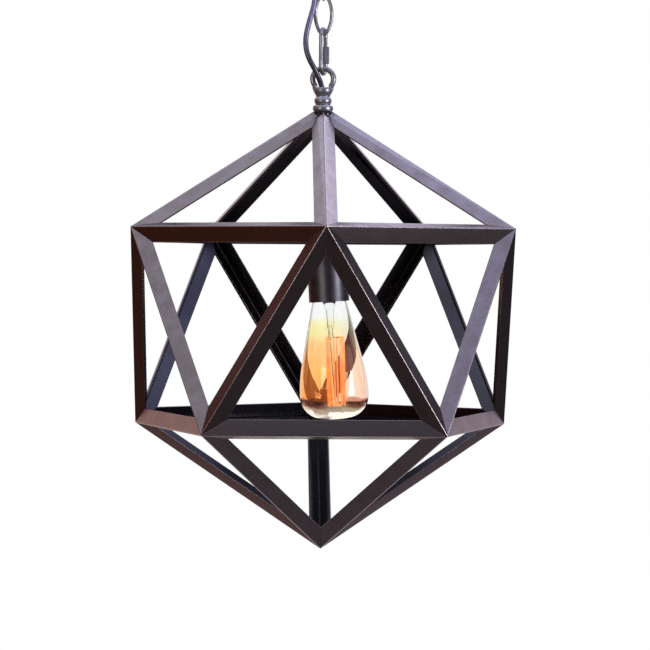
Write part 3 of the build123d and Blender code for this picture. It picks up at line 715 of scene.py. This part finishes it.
def bronze_iron():
    """Bronze patina on angle iron, by the attribute that gives each point's place on its bar."""
    material, tree, shader, where = new_finish("bronze_iron", Metallic=1.0)
    bar = put(tree, "ShaderNodeAttribute", attribute_name="place_on_bar").outputs["Vector"]
    tone = put(tree, "ShaderNodeAttribute", attribute_name="bar_tone").outputs["Fac"]
    split = xyz(tree, bar)
    patch = grain(tree, where, 55.0, 6.0, 0.60)
    fine = grain(tree, where, 420.0, 3.0, 0.6)
    brushed = get(tree, "ShaderNodeMapping", {"Vector": bar, "Scale": (60, 900, 900)})
    stroke = grain(tree, brushed, 1.0, 3.0, 0.6)
    mottle = average(tree, patch, fine, 0.3)
    mottle = average(tree, mottle, stroke, 0.2)
    shift = fade(tree, tone, 0.0, 1.0, -0.03, 0.03)
    mottle = number(tree, "ADD", mottle, shift)
    base = ramp(
        tree, mottle,
        (0.34, (0.186, 0.142, 0.122)), (0.47, (0.224, 0.176, 0.158)),
        (0.56, (0.250, 0.203, 0.188)), (0.68, (0.288, 0.240, 0.226)),
    )
    ridge = number(tree, "ABSOLUTE", split["Y"])
    under = number(tree, "ADD", ridge, split["Z"])
    inside = fade(tree, under, -0.0003, -0.0009)
    place = xyz(tree, where)
    # Painted shade: the inside faces of the angle take this darker colour, darker still low on the
    # keel struts
    inner = ramp(
        tree, fade(tree, place["Z"], -0.560, -0.520),
        (0.0, (0.020, 0.018, 0.021)), (1.0, (0.088, 0.078, 0.086)),
    )
    base = mix(tree, inside, base, inner)
    # Painted shade: the crown struts darken towards the axis at the top, under the neck bead, with
    # a ragged edge
    out = get(tree, "ShaderNodeCombineXYZ", {"X": place["X"], "Y": place["Y"]})
    off_axis = put(tree, "ShaderNodeVectorMath", {0: out}, operation="LENGTH").outputs["Value"]
    apex_shade_jitter = fade(tree, mottle, 0.0, 1.0, -0.004, 0.004)
    off_axis = number(tree, "ADD", off_axis, apex_shade_jitter)
    apex_painted_shade = fade(tree, off_axis, 0.0145, 0.0085, 0.0, 0.85, smooth=True)
    crown = fade(tree, place["Z"], -0.30, -0.29)
    apex_painted_shade = times(tree, apex_painted_shade, crown)
    base = mix(tree, apex_painted_shade, base, (0.040, 0.034, 0.040, 1))
    near = fade(tree, ridge, 0.0004, 0.0012, 1, 0)
    broken = fade(tree, fine, 0.25, 0.45)
    # Painted shade: the inside root of the angle, where the two flanges meet, is made near black
    crease_painted_shade = times(tree, near, inside)
    base = mix(tree, crease_painted_shade, base, (0.010, 0.009, 0.010, 1))
    # Lighter along the outer ridges: partly patina rubbed thin, partly a painted highlight
    outside = number(tree, "SUBTRACT", 1.0, inside)
    ridge_wear_and_highlight = times(tree, times(tree, near, broken), outside)
    ridge_wear_and_highlight = times(tree, ridge_wear_and_highlight, RIDGE_WEAR_AND_HIGHLIGHT)
    colour = mix(tree, ridge_wear_and_highlight, base, (0.58, 0.51, 0.50, 1))
    relief = bump(tree, average(tree, fine, stroke, 0.5), 0.25, 0.00012)
    dull = ramp(tree, mottle, (0.34, 0.31), (0.68, 0.22))
    surface(tree, shader, Base_Color=colour, Roughness=dull, Normal=relief)
    return material


def capture(tree, geometry, domain, **values):
    """Keeps values, each given with its kind, as they are at this stage of the geometry."""
    node = put(tree, "GeometryNodeCaptureAttribute", domain=domain)
    tree.links.new(geometry, node.inputs["Geometry"])
    for name, (kind, value) in values.items():
        node.capture_items.new(kind, name)
        tree.links.new(value, node.inputs[name])
    return node.outputs


def vector_math(tree, operation, *ins):
    """The vector output of one vector operation."""
    return get(tree, "ShaderNodeVectorMath", dict(enumerate(ins)), operation=operation)


def scaled(tree, vector, by):
    """A vector made longer or shorter, or turned about."""
    return get(tree, "ShaderNodeVectorMath", {0: vector, "Scale": by}, operation="SCALE")


tree, g = new_tree(
    "icosahedron_cage",
    bronze_iron(),
    Corner_reach=CORNER_REACH,
    Edge_reach=EDGE_REACH,
    Edge=EDGE,
    Mitre_slope=0.0,
    Seam=SEAM,
    Group_level=0.0,
    Centre=tuple(CAGE_CENTRE),
    Trim_radius=0.0,
    Trim_tilt=0.0,
    Trim_top=0.0,
    Seed=7,
)
# One bar: the section is the object's own mesh, in Y across and Z outwards, with a radius on each
# corner
section = get(tree, "GeometryNodeMeshToCurve", {"Mesh": g["Geometry"]})
corner_r = get(tree, "GeometryNodeInputNamedAttribute", {"Name": "corner_r"}, data_type="FLOAT")
rounded = {"Curve": section, "Radius": corner_r, "Count": 4}
section = get(tree, "GeometryNodeFilletCurve", rounded, mode="POLY")
unit = get(tree, "GeometryNodeCurvePrimitiveLine", {"Start": (-1.0, 0, 0), "End": (1.0, 0, 0)})
swept = {"Curve": unit, "Profile Curve": section, "Fill Caps": True}
bar = get(tree, "GeometryNodeCurveToMesh", swept)
at = xyz(tree, get(tree, "GeometryNodeInputPosition"))
outwards = number(tree, "ADD", at["Z"], g["Edge reach"])
across = number(tree, "ABSOLUTE", at["Y"])
slope = number(tree, "DIVIDE", g["Edge"], times(tree, g["Edge reach"], 2.0))
inset = times(tree, across, g["Mitre slope"])
reach = number(tree, "SUBTRACT", times(tree, outwards, slope), inset)
reach = number(tree, "SUBTRACT", reach, g["Seam"])
along = times(tree, at["X"], reach)
mitred = get(tree, "ShaderNodeCombineXYZ", {"X": along, "Y": at["Y"], "Z": outwards})
on_bar = get(tree, "ShaderNodeCombineXYZ", {"X": along, "Y": at["Y"], "Z": at["Z"]})
kept = {"Geometry": bar, "Name": "place_on_bar", "Value": on_bar}
bar = get(tree, "GeometryNodeStoreNamedAttribute", kept, data_type="FLOAT_VECTOR", domain="POINT")
# The store above evaluates at the unit bar, so the along value is already the mitred one
bar = get(tree, "GeometryNodeSetPosition", {"Geometry": bar, "Position": mitred})
# The thirty edges: one point at the middle of each, turned so that the bar's ridge looks away from
# the centre
corners = {"Radius": g["Corner reach"], "Subdivisions": 1}
solid = put(tree, "GeometryNodeMeshIcoSphere", corners).outputs["Mesh"]
to_front = (0, 0, math.radians(-90))
solid = get(tree, "GeometryNodeTransform", {"Geometry": solid, "Rotation": to_front})
ends = put(tree, "GeometryNodeInputMeshEdgeVertices").outputs
direction = vector_math(tree, "SUBTRACT", ends["Position 2"], ends["Position 1"])
rise = xyz(tree, direction)["Z"]
down = number(tree, "LESS_THAN", rise, -0.001)
upward = {0: down, 1: direction, 2: scaled(tree, direction, -1.0)}
upward = get(tree, "GeometryNodeSwitch", upward, input_type="VECTOR")
edges = capture(tree, solid, "EDGE", direction=("VECTOR", upward))
middles = get(tree, "GeometryNodeMeshToPoints", {"Mesh": edges["Geometry"]}, mode="EDGES")
radial = get(tree, "GeometryNodeInputPosition")
off_level = number(tree, "SUBTRACT", xyz(tree, radial)["Z"], g["Group level"])
chosen = number(tree, "LESS_THAN", number(tree, "ABSOLUTE", off_level), 0.01)
axes = {"Primary Axis": radial, "Secondary Axis": edges["direction"]}
turn = get(tree, "FunctionNodeAxesToRotation", axes, primary_axis="Z", secondary_axis="X")
middles = capture(tree, middles, "POINT", turn=("ROTATION", turn), chosen=("BOOLEAN", chosen))
seats = {"Geometry": middles["Geometry"], "Position": g["Centre"]}
seats = get(tree, "GeometryNodeSetPosition", seats)
# The crown bars are cut back for the hub and level across its top
hub = {"Vertices": HUB_SIDES, "Radius": g["Trim radius"], "Depth": CUTTER_SIZE}
hub = put(tree, "GeometryNodeMeshCylinder", hub).outputs["Mesh"]
lid = {"Size": (CUTTER_SIZE, CUTTER_SIZE, CUTTER_SIZE / 2)}
lid = put(tree, "GeometryNodeMeshCube", lid).outputs["Mesh"]
tilt = get(tree, "ShaderNodeCombineXYZ", {"Y": g["Trim tilt"]})
cut = put(tree, "GeometryNodeMeshBoolean", {"Mesh 1": bar}, operation="DIFFERENCE")
for cutter, above in ((hub, 0.0), (lid, CUTTER_SIZE / 4)):
    lift = get(tree, "ShaderNodeCombineXYZ", {"Z": number(tree, "ADD", g["Trim top"], above)})
    cutter = get(tree, "GeometryNodeTransform", {"Geometry": cutter, "Translation": lift})
    cutter = get(tree, "GeometryNodeTransform", {"Geometry": cutter, "Rotation": tilt})
    tree.links.new(cutter, cut.inputs["Mesh 2"])
trimmed = number(tree, "GREATER_THAN", g["Trim radius"], 0.001)
either = {0: trimmed, 1: bar, 2: cut.outputs["Mesh"]}
bar = get(tree, "GeometryNodeSwitch", either, input_type="GEOMETRY")
bars = {"Points": seats, "Selection": middles["chosen"], "Rotation": middles["turn"]}
bars = get(tree, "GeometryNodeInstanceOnPoints", {**bars, "Instance": bar})
tone = put(tree, "FunctionNodeRandomValue", {"Seed": g["Seed"]}, data_type="FLOAT").outputs[1]
toned = {"Geometry": bars, "Name": "bar_tone", "Value": tone}
bars = get(tree, "GeometryNodeStoreNamedAttribute", toned, data_type="FLOAT", domain="INSTANCE")
end_tree(tree, bars)

half_angle = math.acos(-math.sqrt(5) / 3) / 2
face_drop = EDGE / math.sqrt(12)
side = face_drop * math.sin(half_angle)
side_level = EDGE_REACH - face_drop * math.cos(half_angle)
mitre_slope = EDGE / (2 * EDGE_REACH) * side_level / side
leg = FLANGE / math.sqrt(2)
toe = IRON / math.sqrt(2)
section_corners = [
    (0, 0, RIDGE_R),
    (-leg, -leg, TOE_R),
    (toe - leg, -leg - toe, TOE_R),
    (0, -2 * toe, ROOT_R),
    (leg - toe, -leg - toe, TOE_R),
    (leg, -leg, TOE_R),
]
crown_tilt = math.atan2(EDGE / 2, EDGE_REACH)
for group, (pattern, count, level) in CAGE_GROUPS.items():
    section = line_mesh(group, [(-y, -z, 0) for y, z, _ in section_corners], closed=True)
    radii = section.attributes.new("corner_r", "FLOAT", "POINT")
    radii.data.foreach_set("value", [r for _, _, r in section_corners])
    crown = group == "crown_struts"
    piece = grow(
        group,
        tree,
        section,
        flat_sides=True,
        Mitre_slope=mitre_slope,
        Group_level=level,
        Trim_radius=HUB_R + HUB_WELD_GAP if crown else 0.0,
        Trim_tilt=crown_tilt if crown else 0.0,
        Trim_top=CORNER_REACH - APEX_CUT if crown else 0.0,
    )
    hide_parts(*[pattern.format(i + 1) for i in range(count)])
    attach(piece, "lamp")

# Weld run round the neck ring's foot, where the five crown struts come together
WELD_R = 0.0087
WELD_LEVEL = -0.2228
WELD_BEAD = 0.0011
WELD_STEPS = 90
weld_finish = gunmetal(
    "weld_scale", (0.030, 0.026, 0.030), (0.050, 0.044, 0.050), (0.080, 0.070, 0.078), 0.62
)
run = [(x, y, WELD_LEVEL) for x, y in arc((0, 0), WELD_R, 0, 360, WELD_STEPS)[:-1]]
piece = grow(
    "neck_weld",
    round_bar("weld_bead", weld_finish),
    line_mesh("neck_weld_line", run, closed=True),
    Radius=WELD_BEAD,
    Step=0.0002,
    Thread_pitch=0.0013,
    Thread_depth=0.00022,
    Thread_from_start=1.0,
)
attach(piece, "lamp")


# Stem, lampholder cup and what is in it
# A bent steel pipe, a drawn steel cup, and inside it a moulded insulator with a brass screw shell,
# centre tongue and two terminal screws. The cord's cores run down inside the pipe.
dress(sheet_bronze, "stem_tube", "socket_cup")
dress(cord_finish, "stem_lead")


def glaze():
    """Off-white glazed porcelain."""
    glossy = {"Roughness": 0.18, "Coat_Weight": 0.6, "Coat_Roughness": 0.08}
    material, tree, shader, where = new_finish("porcelain", **glossy)
    cloud = grain(tree, where, 120.0, 3.0)
    tone = ramp(tree, cloud, (0.3, (0.74, 0.72, 0.66)), (0.7, (0.82, 0.80, 0.75)))
    surface(tree, shader, Base_Color=tone, Normal=bump(tree, cloud, 0.2, 0.0002))
    return material


dress(glaze(), "socket_body")
brass = gunmetal("brass", (0.48, 0.32, 0.13), (0.66, 0.46, 0.20), (0.78, 0.58, 0.28), 0.28)
dress(brass, "socket_shell", "socket_tongue", "terminal_screws")


# Bulb
# A long pear of blown glass, amber lacquered below and clear at the neck, on a nickel-plated
# screw cap. Inside, a glass mount carries a squirrel cage filament of eight runs on wire hooks.
BULB_MIDDLE = 0.0128
AMBER_FOOT = -0.510
AMBER_TOP = -0.400
# Width over which the bulb's right side turns paler: a painted reflection of the soft light there
PALE_RIGHT_OVER = 0.028


def amber_glass():
    """Clear glass, amber lacquered above its foot, thinning at the neck, with painted shade and
    light.
    """
    glass = {"Transmission_Weight": 1.0, "Roughness": 0.0, "IOR": 1.46, "Specular_IOR_Level": 0.9}
    glass |= {"Specular_Tint": (1.0, 0.80, 0.72, 1), "Emission_Strength": 1.0}
    material, tree, shader, where = new_finish("amber_glass", **glass)
    level = xyz(tree, where)["Z"]
    drift = grain(tree, where, 30.0, 2.0)
    drift = fade(tree, drift, 0.0, 1.0, -0.006, 0.006)
    level = number(tree, "ADD", level, drift)
    depth = fade(tree, level, AMBER_FOOT, AMBER_TOP)
    full = ramp(
        tree, depth,
        (0.00, (1.0, 0.98, 0.95)), (0.13, (1.0, 0.94, 0.86)),
        (0.20, (1.0, 0.62, 0.32)), (0.45, (1.0, 0.72, 0.41)),
        (0.66, (1.0, 0.80, 0.52)), (0.73, (1.0, 0.94, 0.62)),
        (0.83, (1.0, 0.98, 0.70)), (0.90, (1.0, 1.0, 1.0)),
    )
    # Painted reflection: paler amber for the bulb's right side, where the soft light on the right
    # shows
    painted_pale_right = ramp(
        tree, depth,
        (0.00, (1.0, 0.98, 0.95)), (0.13, (1.0, 0.95, 0.88)),
        (0.21, (1.0, 0.84, 0.72)), (0.60, (1.0, 0.88, 0.73)),
        (0.78, (1.0, 0.96, 0.84)), (0.90, (1.0, 1.0, 1.0)),
    )
    # Painted light: the glass glows faintly of itself, standing in for light the lacquer scatters
    # and for the pale sheen low on the bulb
    painted_glow = ramp(
        tree, depth,
        (0.00, (0.105, 0.088, 0.080)), (0.10, (0.090, 0.072, 0.056)),
        (0.14, (0.055, 0.030, 0.018)), (0.19, (0.066, 0.016, 0.002)),
        (0.42, (0.080, 0.024, 0.004)), (0.58, (0.025, 0.009, 0.003)),
        (0.72, 0.0),
    )
    painted_glow_pale_right = ramp(
        tree, depth,
        (0.00, (0.110, 0.100, 0.072)), (0.10, (0.090, 0.076, 0.052)),
        (0.14, (0.045, 0.028, 0.020)), (0.20, (0.028, 0.012, 0.011)),
        (0.60, (0.030, 0.013, 0.013)), (0.78, 0.0),
    )
    # Painted reflection: the paler amber's share grows across the bulb towards its right
    sideways = xyz(tree, where)["X"]
    sideways = number(tree, "ADD", sideways, times(tree, drift, 0.8))
    coat = fade(tree, sideways, 0.0, PALE_RIGHT_OVER)
    colour = mix(tree, coat, full, painted_pale_right)
    glow = mix(tree, coat, painted_glow, painted_glow_pale_right)
    # Painted shade: a dark reddish band low on the bulb's flanks, standing in for the dark cage
    # struts that show through the glass there
    from_middle = number(tree, "ABSOLUTE", number(tree, "SUBTRACT", sideways, BULB_MIDDLE))
    flank = fade(tree, from_middle, 0.004, 0.013)
    painted_dark_band = ramp(tree, depth, (0.115, 0.0), (0.135, 1.0), (0.180, 1.0), (0.200, 0.0))
    painted_dark_band = times(tree, painted_dark_band, flank)
    colour = mix(tree, painted_dark_band, colour, (0.62, 0.34, 0.27, 1))
    glow = mix(tree, painted_dark_band, glow, (0.006, 0.002, 0.002, 1))
    surface(tree, shader, Base_Color=colour, Emission_Color=glow)
    return material


dress(amber_glass(), "bulb_glass")
see_through = {"Transmission_Weight": 1.0, "Roughness": 0.02, "IOR": 1.12}
clear, tree, shader, where = new_finish("clear_glass", **see_through)
seeds = grain(tree, where, 260.0, 3.0)
tone = ramp(tree, seeds, (0.3, (0.93, 0.94, 0.93)), (0.7, (0.98, 0.99, 0.98)))
surface(tree, shader, Base_Color=tone, Normal=bump(tree, seeds, 0.3, 0.0001))
dress(clear, "bulb_mount")
nickel = gunmetal("nickel_brass", (0.50, 0.47, 0.40), (0.62, 0.58, 0.50), (0.72, 0.68, 0.60), 0.22)
dress(nickel, "bulb_cap")
black, tree, shader, where = new_finish("black_glass", Roughness=0.15)
cloud = grain(tree, where, 300.0)
tone = ramp(tree, cloud, (0.3, (0.01, 0.01, 0.012)), (0.7, (0.03, 0.03, 0.034)))
surface(tree, shader, Base_Color=tone)
dress(black, "bulb_cap_insulator")
solder = gunmetal("solder", (0.40, 0.40, 0.40), (0.52, 0.52, 0.52), (0.62, 0.62, 0.61), 0.34)
dress(solder, "bulb_tip_contact")

# Screw threads and filament
# Rolled ridges on the nipple, the loop's barrel and the bulb's cap, and a fine coil of wire strung
# up and down as a squirrel cage, each made as a wire wound round its path. The cage hangs on
# nickel leads and short hooks.
NIPPLE_THREAD_SHORT = 0.0005
BARREL_THREAD_LEVELS = (-0.0357, -0.0220)
CAP_THREAD_LEVELS = (0.004, 0.0185)
STEM_BEND = -0.28555
STEM_LEAN = math.radians(-3.5)
CAP_FOOT = -0.1044
FILAMENT_RUNS = 8
FILAMENT_R = 0.0079
FILAMENT_TOP = -0.0425
FILAMENT_FOOT = -0.1055
FILAMENT_START = math.radians(-101.25)
FILAMENT_SHIFT_TOP = 0.0036
FILAMENT_SHIFT_FOOT = 0.0018
COIL_R = 0.00088
COIL_WIRE = 0.00024
COIL_PITCH = 0.0008
LEAD_TOP = -0.0306
LEAD_NARROW = 0.42
BUTTON_R = 0.0026
SUPPORT_WIRE = 0.00025


def winding(name, finish):
    """A tree that winds a wire round its path, as a coil or as the ridge of a screw thread."""
    tree, g = new_tree(
        name,
        finish,
        Coil_radius=0.001,
        Pitch=0.001,
        Wire_radius=0.0002,
        Corner_radius=0.0,
        Points=8,
        Sides=5,
    )
    path = get(tree, "GeometryNodeMeshToCurve", {"Mesh": g["Geometry"]})
    rounded = {"Curve": path, "Radius": g["Corner radius"], "Count": 6}
    path = get(tree, "GeometryNodeFilletCurve", rounded, mode="POLY")
    path = stepped(tree, path, number(tree, "DIVIDE", g["Pitch"], g["Points"]))
    run = put(tree, "GeometryNodeSplineParameter").outputs["Length"]
    turn = times(tree, number(tree, "DIVIDE", run, g["Pitch"]), 2 * math.pi)
    normal = get(tree, "GeometryNodeInputNormal")
    side = vector_math(tree, "CROSS_PRODUCT", get(tree, "GeometryNodeInputTangent"), normal)
    offsets = []
    for direction, sweep in ((normal, "COSINE"), (side, "SINE")):
        reach = times(tree, number(tree, sweep, turn), g["Coil radius"])
        offsets.append(scaled(tree, direction, reach))
    offset = vector_math(tree, "ADD", *offsets)
    path = get(tree, "GeometryNodeSetPosition", {"Geometry": path, "Offset": offset})
    end_round(tree, path, g["Sides"], g["Wire radius"])
    return tree


def in_bulb(x, y, z):
    """A place in the bulb's own frame, measured from the foot of its cap up its leaning axis."""
    lean = Matrix.Translation((0, 0, STEM_BEND)) @ Matrix.Rotation(STEM_LEAN, 4, "Y")
    return lean @ Vector((x, y, z + CAP_FOOT))


nipple_low, nipple_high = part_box("canopy_nipple")
nipple_ends = (nipple_low[2] + NIPPLE_THREAD_SHORT, nipple_high[2] - NIPPLE_THREAD_SHORT)
nipple_line = [(0, 0, level) for level in nipple_ends]
barrel_line = [(0, 0, level) for level in BARREL_THREAD_LEVELS]
cap_line = [in_bulb(0, 0, level) for level in CAP_THREAD_LEVELS]
# Each thread: its finish, slot, body and line, and the sizes of its winding
threads = {
    "nipple_thread": (
        *(zinc, "zinc_steel", "ceiling_mount", nipple_line),
        dict(Coil_radius=0.005, Pitch=0.00094, Wire_radius=0.00012, Points=36),
    ),
    "barrel_thread": (
        *(cast_gunmetal, "gunmetal", "ceiling_mount", barrel_line),
        dict(Coil_radius=0.0125, Pitch=0.0015, Wire_radius=0.0002, Points=64),
    ),
    "bulb_cap_thread": (
        *(nickel, "nickel_brass", "bulb", cap_line),
        dict(Coil_radius=0.0127, Pitch=0.00363, Wire_radius=0.0007, Points=64, Sides=10),
    ),
}
for name, (finish, slot_name, body, path, sizes) in threads.items():
    piece = grow(name, winding(name + "_winding", finish), line_mesh(name, path), **sizes)
    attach(piece, body)

hot = {"Roughness": 0.45, "Metallic": 1.0, "Emission_Strength": 1.0}
glow, tree, shader, where = new_finish("filament_wire", **hot)
heat = grain(tree, where, 90.0, 2.0)
level = xyz(tree, where)["Z"]
upper = ramp(tree, heat, (0.35, (0.80, 0.28, 0.11)), (0.65, (0.96, 0.46, 0.22)))
lower = ramp(tree, heat, (0.35, (0.70, 0.17, 0.03)), (0.65, (0.90, 0.30, 0.07)))
depth = fade(tree, level, -0.440, -0.490)
warmth = mix(tree, depth, upper, lower)
tone = ramp(tree, heat, (0.3, (0.42, 0.20, 0.09)), (0.7, (0.60, 0.34, 0.18)))
surface(tree, shader, Base_Color=tone, Emission_Color=warmth)
corners = []
for i in range(FILAMENT_RUNS):
    turn = FILAMENT_START + 2 * math.pi * i / FILAMENT_RUNS
    x, y = FILAMENT_R * math.cos(turn), FILAMENT_R * math.sin(turn)
    ends = [(x + FILAMENT_SHIFT_TOP, y, FILAMENT_TOP), (x + FILAMENT_SHIFT_FOOT, y, FILAMENT_FOOT)]
    corners += ends if i % 2 == 0 else ends[::-1]
piece = grow(
    "filament_coil",
    winding("filament_winding", glow),
    line_mesh("filament_line", [in_bulb(*c) for c in corners]),
    Coil_radius=COIL_R,
    Pitch=COIL_PITCH,
    Wire_radius=COIL_WIRE,
    Corner_radius=0.0015,
    Sides=4,
)
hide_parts("bulb_filament")
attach(piece, "bulb")

wires = []
for x, y, z in (corners[0], corners[-1]):
    wires += [(x, y, z), (x * LEAD_NARROW, y * LEAD_NARROW, LEAD_TOP)]
for (ax, ay, level), (bx, by, _) in zip(corners[1:-1:2], corners[2:-1:2]):
    middle = Vector(((ax + bx) / 2, (ay + by) / 2))
    inner = middle.normalized() * BUTTON_R
    wires += [(*inner, level), (*middle, level)]
supports = bpy.data.meshes.new("filament_supports")
pairs = [(i, i + 1) for i in range(0, len(wires), 2)]
supports.from_pydata([in_bulb(*w) for w in wires], pairs, [])
support_nickel = gunmetal(
    "support_nickel", (0.10, 0.09, 0.09), (0.18, 0.165, 0.16), (0.26, 0.24, 0.23), 0.30
)
support_bar = round_bar("support_bar", support_nickel)
piece = grow("filament_supports", support_bar, supports, Radius=SUPPORT_WIRE, Sides=8)
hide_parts("bulb_filament")
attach(piece, "bulb")


# Room
# Plain pale floor and soft studio light. The white of the background stands behind the lamp; the
# room is warm and dim on its left, cool and dim on its right, dark low in front, and bright
# overhead.
FLOOR_LEVEL = -2.4
FLOOR_R = 0.55
FLOOR_SIDES = 96
FLOOR_GLOW = 0.7
work = bmesh.new()
middle = Matrix.Translation((0, 0, FLOOR_LEVEL))
bmesh.ops.create_circle(work, cap_ends=True, radius=FLOOR_R, segments=FLOOR_SIDES, matrix=middle)
floor = link_object("floor", finished_mesh("floor", work))
white = {"Base_Color": (0.80, 0.80, 0.80, 1), "Emission_Color": (1, 1, 1, 1)}
pale, tree, shader, _ = new_finish("pale_floor", Roughness=0.9, **white)
seen = put(tree, "ShaderNodeLightPath").outputs
seen_sum = number(tree, "ADD", seen["Is Camera Ray"], seen["Is Transmission Ray"])
surface(tree, shader, Emission_Strength=times(tree, seen_sum, FLOOR_GLOW))
floor.data.materials.append(pale)

world = bpy.data.worlds.new("studio")
bpy.context.scene.world = world
world.use_nodes = True
tree = world.node_tree
tree.nodes.clear()
way = put(tree, "ShaderNodeTexCoord").outputs["Generated"]
parts = xyz(tree, way)
across_room = fade(tree, parts["X"], -1.0, 1.0)
side = ramp(
    tree, across_room,
    (0.0, (0.165, 0.050, 0.028)), (0.10, (0.150, 0.046, 0.028)),
    (0.20, (0.030, 0.022, 0.020)), (0.80, (0.020, 0.020, 0.025)),
    (0.90, (0.060, 0.060, 0.085)), (1.0, (0.10, 0.10, 0.14)),
)
front = fade(tree, parts["Y"], 0.40, 0.10)
high = ramp(tree, parts["Z"], (0.10, 0.0), (0.45, 0.055), (0.67, 0.97))
high_front = times(tree, front, high)
height = fade(tree, parts["Z"], -1.0, 1.0)
side_rise = ramp(tree, height, (0.28, 0.50), (0.68, 1.25))
side = mix(tree, 1.0, side, side_rise, "MULTIPLY")
rise = number(tree, "MAXIMUM", high_front, ramp(tree, parts["Z"], (0.62, 0.0), (0.93, 0.95)))
sky = ramp(
    tree, across_room,
    (0.0, (0.98, 1.10, 1.42)), (0.5, (1.04, 1.16, 1.55)),
    (0.7, (1.12, 1.27, 2.10)), (1.0, (0.95, 1.05, 1.60)),
)
off_floor = ramp(
    tree, height,
    (0.03, (0.115, 0.107, 0.135)), (0.10, (0.105, 0.098, 0.125)),
    (0.19, (0.040, 0.035, 0.040)), (0.25, 0.0),
)
side = mix(tree, 1.0, side, off_floor, "ADD")
lit = mix(tree, rise, side, sky)
steep = times(tree, parts["Z"], parts["Z"])
flat = number(tree, "SQRT", number(tree, "SUBTRACT", 1.0, steep))
facing_back = number(tree, "DIVIDE", parts["Y"], number(tree, "MAXIMUM", flat, 0.05))
behind = fade(tree, facing_back, 0.58, 0.74, smooth=True)
backdrop = ramp(
    tree, across_room,
    (0.2, (1.16, 1.18, 1.54)), (0.36, (0.88, 0.84, 1.02)),
    (0.45, (0.62, 0.52, 0.58)), (0.56, (1.25, 1.28, 1.75)),
    (0.8, (2.0, 2.1, 2.9)),
)
low_backdrop = ramp(
    tree, across_room,
    (0.2, (0.61, 0.36, 0.34)), (0.5, (0.85, 0.80, 0.80)),
    (0.8, (0.54, 0.44, 0.57)),
)
raised = fade(tree, parts["Z"], 0.2, 0.4)
backdrop = mix(tree, raised, low_backdrop, backdrop)
room = mix(tree, behind, lit, backdrop)
paths = put(tree, "ShaderNodeLightPath").outputs
direct = number(tree, "MAXIMUM", paths["Is Camera Ray"], paths["Is Transmission Ray"])
shown = mix(tree, direct, room, (1, 1, 1, 1))
surround = get(tree, "ShaderNodeBackground", {"Color": shown, "Strength": 1.0})
put(tree, "ShaderNodeOutputWorld", {"Surface": surround})


def soft_panel(name, place, width, height, brightness, colour=(1, 1, 1)):
    """A rectangular soft light of a given surface brightness, turned to the cage's middle."""
    light = bpy.data.lights.new(name, "AREA")
    light.shape = "RECTANGLE"
    light.size = width
    light.size_y = height
    light.energy = brightness * math.pi * width * height
    light.color = colour
    panel = link_object(name, light)
    panel.location = CAGE_CENTRE + Vector(place)
    panel.rotation_euler = (CAGE_CENTRE - panel.location).to_track_quat("-Z", "Y").to_euler()


soft_panel("left_panel", (-0.97, -1.38, 0.24), 0.62, 0.5, 4.4, (1.0, 0.96, 0.98))
soft_panel("right_panel", (1.43, -0.91, 0.17), 0.92, 0.60, 5.0, (0.84, 0.84, 1.0))
soft_panel("right_panel_middle", (1.40, -0.89, 0.21), 0.52, 0.44, 6.5, (0.94, 0.93, 1.0))
